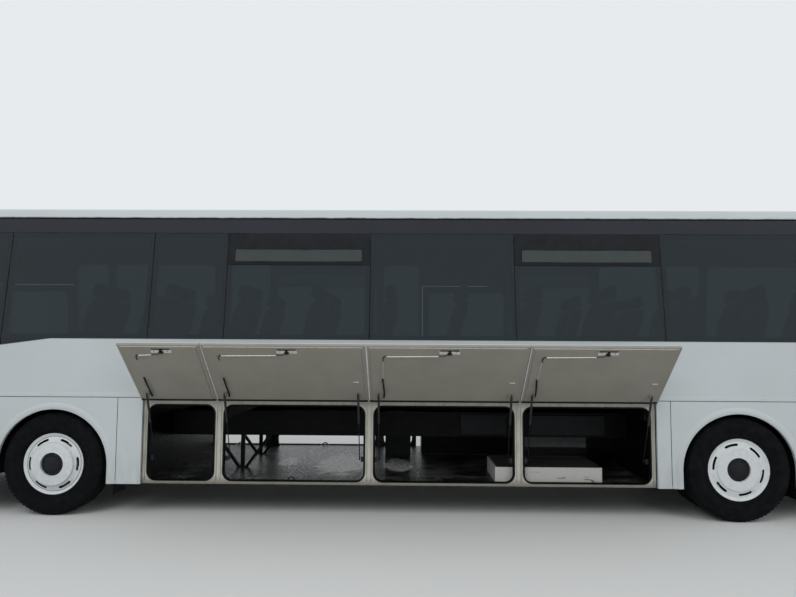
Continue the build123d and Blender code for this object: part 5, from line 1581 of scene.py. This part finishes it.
def fill(item, most):
    """Foam pressing the cover out between its seams, as cloth under pressure; its travel is capped."""
    scene = bpy.context.scene
    last = 20
    start = [vert.co.copy() for vert in item.data.vertices]
    cover = item.modifiers.new("cover", "CLOTH")
    cover.settings.use_pressure = True
    cover.settings.uniform_pressure_force = 4.0
    cover.settings.vertex_group_mass = "sewn"
    cover.settings.effector_weights.gravity = 0.0
    cover.settings.quality = 6
    cover.point_cache.frame_start = 1
    cover.point_cache.frame_end = last
    for number in range(1, last + 1):
        scene.frame_set(number)
    seen = item.evaluated_get(bpy.context.evaluated_depsgraph_get())
    ended = [vert.co.copy() for vert in seen.data.vertices]
    scene.frame_set(1)
    item.modifiers.remove(cover)
    for vert, was, now in zip(item.data.vertices, start, ended):
        step = now - was
        if step.length > most:
            step *= most / step.length
        vert.co = was + step


class COACH_OT_stage(bpy.types.Operator):
    """Pale floor, soft studio light and the camera"""

    bl_idname = "coach.stage"
    bl_label = "Stage, light and camera"

    def execute(self, context):
        shape = bmesh.new()
        bmesh.ops.create_grid(shape, x_segments=2, y_segments=2, size=60)
        floor = put(shape, "studio_floor", backdrop)
        for vert in floor.data.vertices:
            vert.co.z = -0.001
        self.world(context)
        self.lamp("key", (-5, -11, 9), (0, 0, 1.2), 620)
        self.lamp("fill", (8, -10, 7), (0, 0, 1.2), 380)
        self.lamp("back", (2, 12, 8), (0, 0, 1.5), 380)
        self.camera(context)
        context.scene.view_settings.view_transform = "Standard"
        return {"FINISHED"}

    def world(self, context):
        world = bpy.data.worlds.new("studio")
        context.scene.world = world
        world.use_nodes = True
        tree = world.node_tree
        tree.nodes.clear()
        path = add(tree, "ShaderNodeLightPath").outputs
        seen = Field(path["Is Camera Ray"])
        for ray in ("Is Glossy Ray", "Is Transmission Ray"):
            seen = seen.to("MAXIMUM", path[ray])
        light = add(tree, "ShaderNodeBackground", {"Color": "#F2F5F8", "Strength": 0.62})
        shown = add(tree, "ShaderNodeBackground", {"Color": "#E8EBED", "Strength": 1.0})
        both = add(tree, "ShaderNodeMixShader", {0: seen, 1: light.outputs[0], 2: shown.outputs[0]})
        add(tree, "ShaderNodeOutputWorld", {"Surface": both.outputs[0]})

    def lamp(self, name, place, target, watts):
        data = bpy.data.lights.new(name, "AREA")
        data.energy = watts
        data.shape = "DISK"
        data.size = 8.0
        item = placed(name, data)
        item.location = place
        item.rotation_euler = (Vector(target) - Vector(place)).to_track_quat("-Z", "Y").to_euler()
        item.visible_glossy = False
        item.visible_transmission = False

    def camera(self, context):
        yaw, pitch, roll = (math.radians(v) for v in (-0.9057, 4.2830, 0.3363))
        data = bpy.data.cameras.new("camera")
        data.sensor_width = 36
        data.lens = 29.51
        item = placed("camera", data)
        ahead = Vector((math.sin(yaw) * math.cos(pitch), math.cos(yaw) * math.cos(pitch), math.sin(pitch)))
        turn = ahead.to_track_quat("-Z", "Y").to_matrix() @ Matrix.Rotation(roll, 3, "Z")
        item.matrix_world = Matrix.Translation((-0.088, -7.744, 1.6676)) @ turn.to_4x4()
        context.scene.camera = item


class COACH_PT_panel(bpy.types.Panel):
    """Lists the coach's pieces, sizes and colours"""

    bl_idname = "COACH_PT_panel"
    bl_label = "Coach"
    bl_space_type = "VIEW_3D"
    bl_region_type = "UI"
    bl_category = "Coach"

    def draw(self, context):
        for piece in PIECES:
            self.layout.operator(piece.bl_idname)
        for group in (context.scene.coach_sizes, context.scene.coach_colours):
            for name in group.__annotations__:
                self.layout.prop(group, name)


PIECES = (
    COACH_OT_panels,
    COACH_OT_gaskets,
    COACH_OT_hoppers,
    COACH_OT_cove,
    COACH_OT_hinge_screws,
    COACH_OT_opening_seals,
    COACH_OT_flap_fittings,
    COACH_OT_hold_fittings,
    COACH_OT_panel_strips,
    COACH_OT_front_fittings,
    COACH_OT_rear_fittings,
    COACH_OT_tyres,
    COACH_OT_hubs,
    COACH_OT_seats,
    COACH_OT_stage,
)
CLASSES = (CoachColours, CoachSizes, *PIECES, COACH_PT_panel)


def register():
    for item in CLASSES:
        bpy.utils.register_class(item)
    bpy.types.Scene.coach_colours = bpy.props.PointerProperty(type=CoachColours)
    bpy.types.Scene.coach_sizes = bpy.props.PointerProperty(type=CoachSizes)


def unregister():
    del bpy.types.Scene.coach_sizes
    del bpy.types.Scene.coach_colours
    for item in reversed(CLASSES):
        bpy.utils.unregister_class(item)


def main():
    register()
    for piece in PIECES:
        family, name = piece.bl_idname.split(".")
        getattr(getattr(bpy.ops, family), name)()


if __name__ == "__main__":
    main()
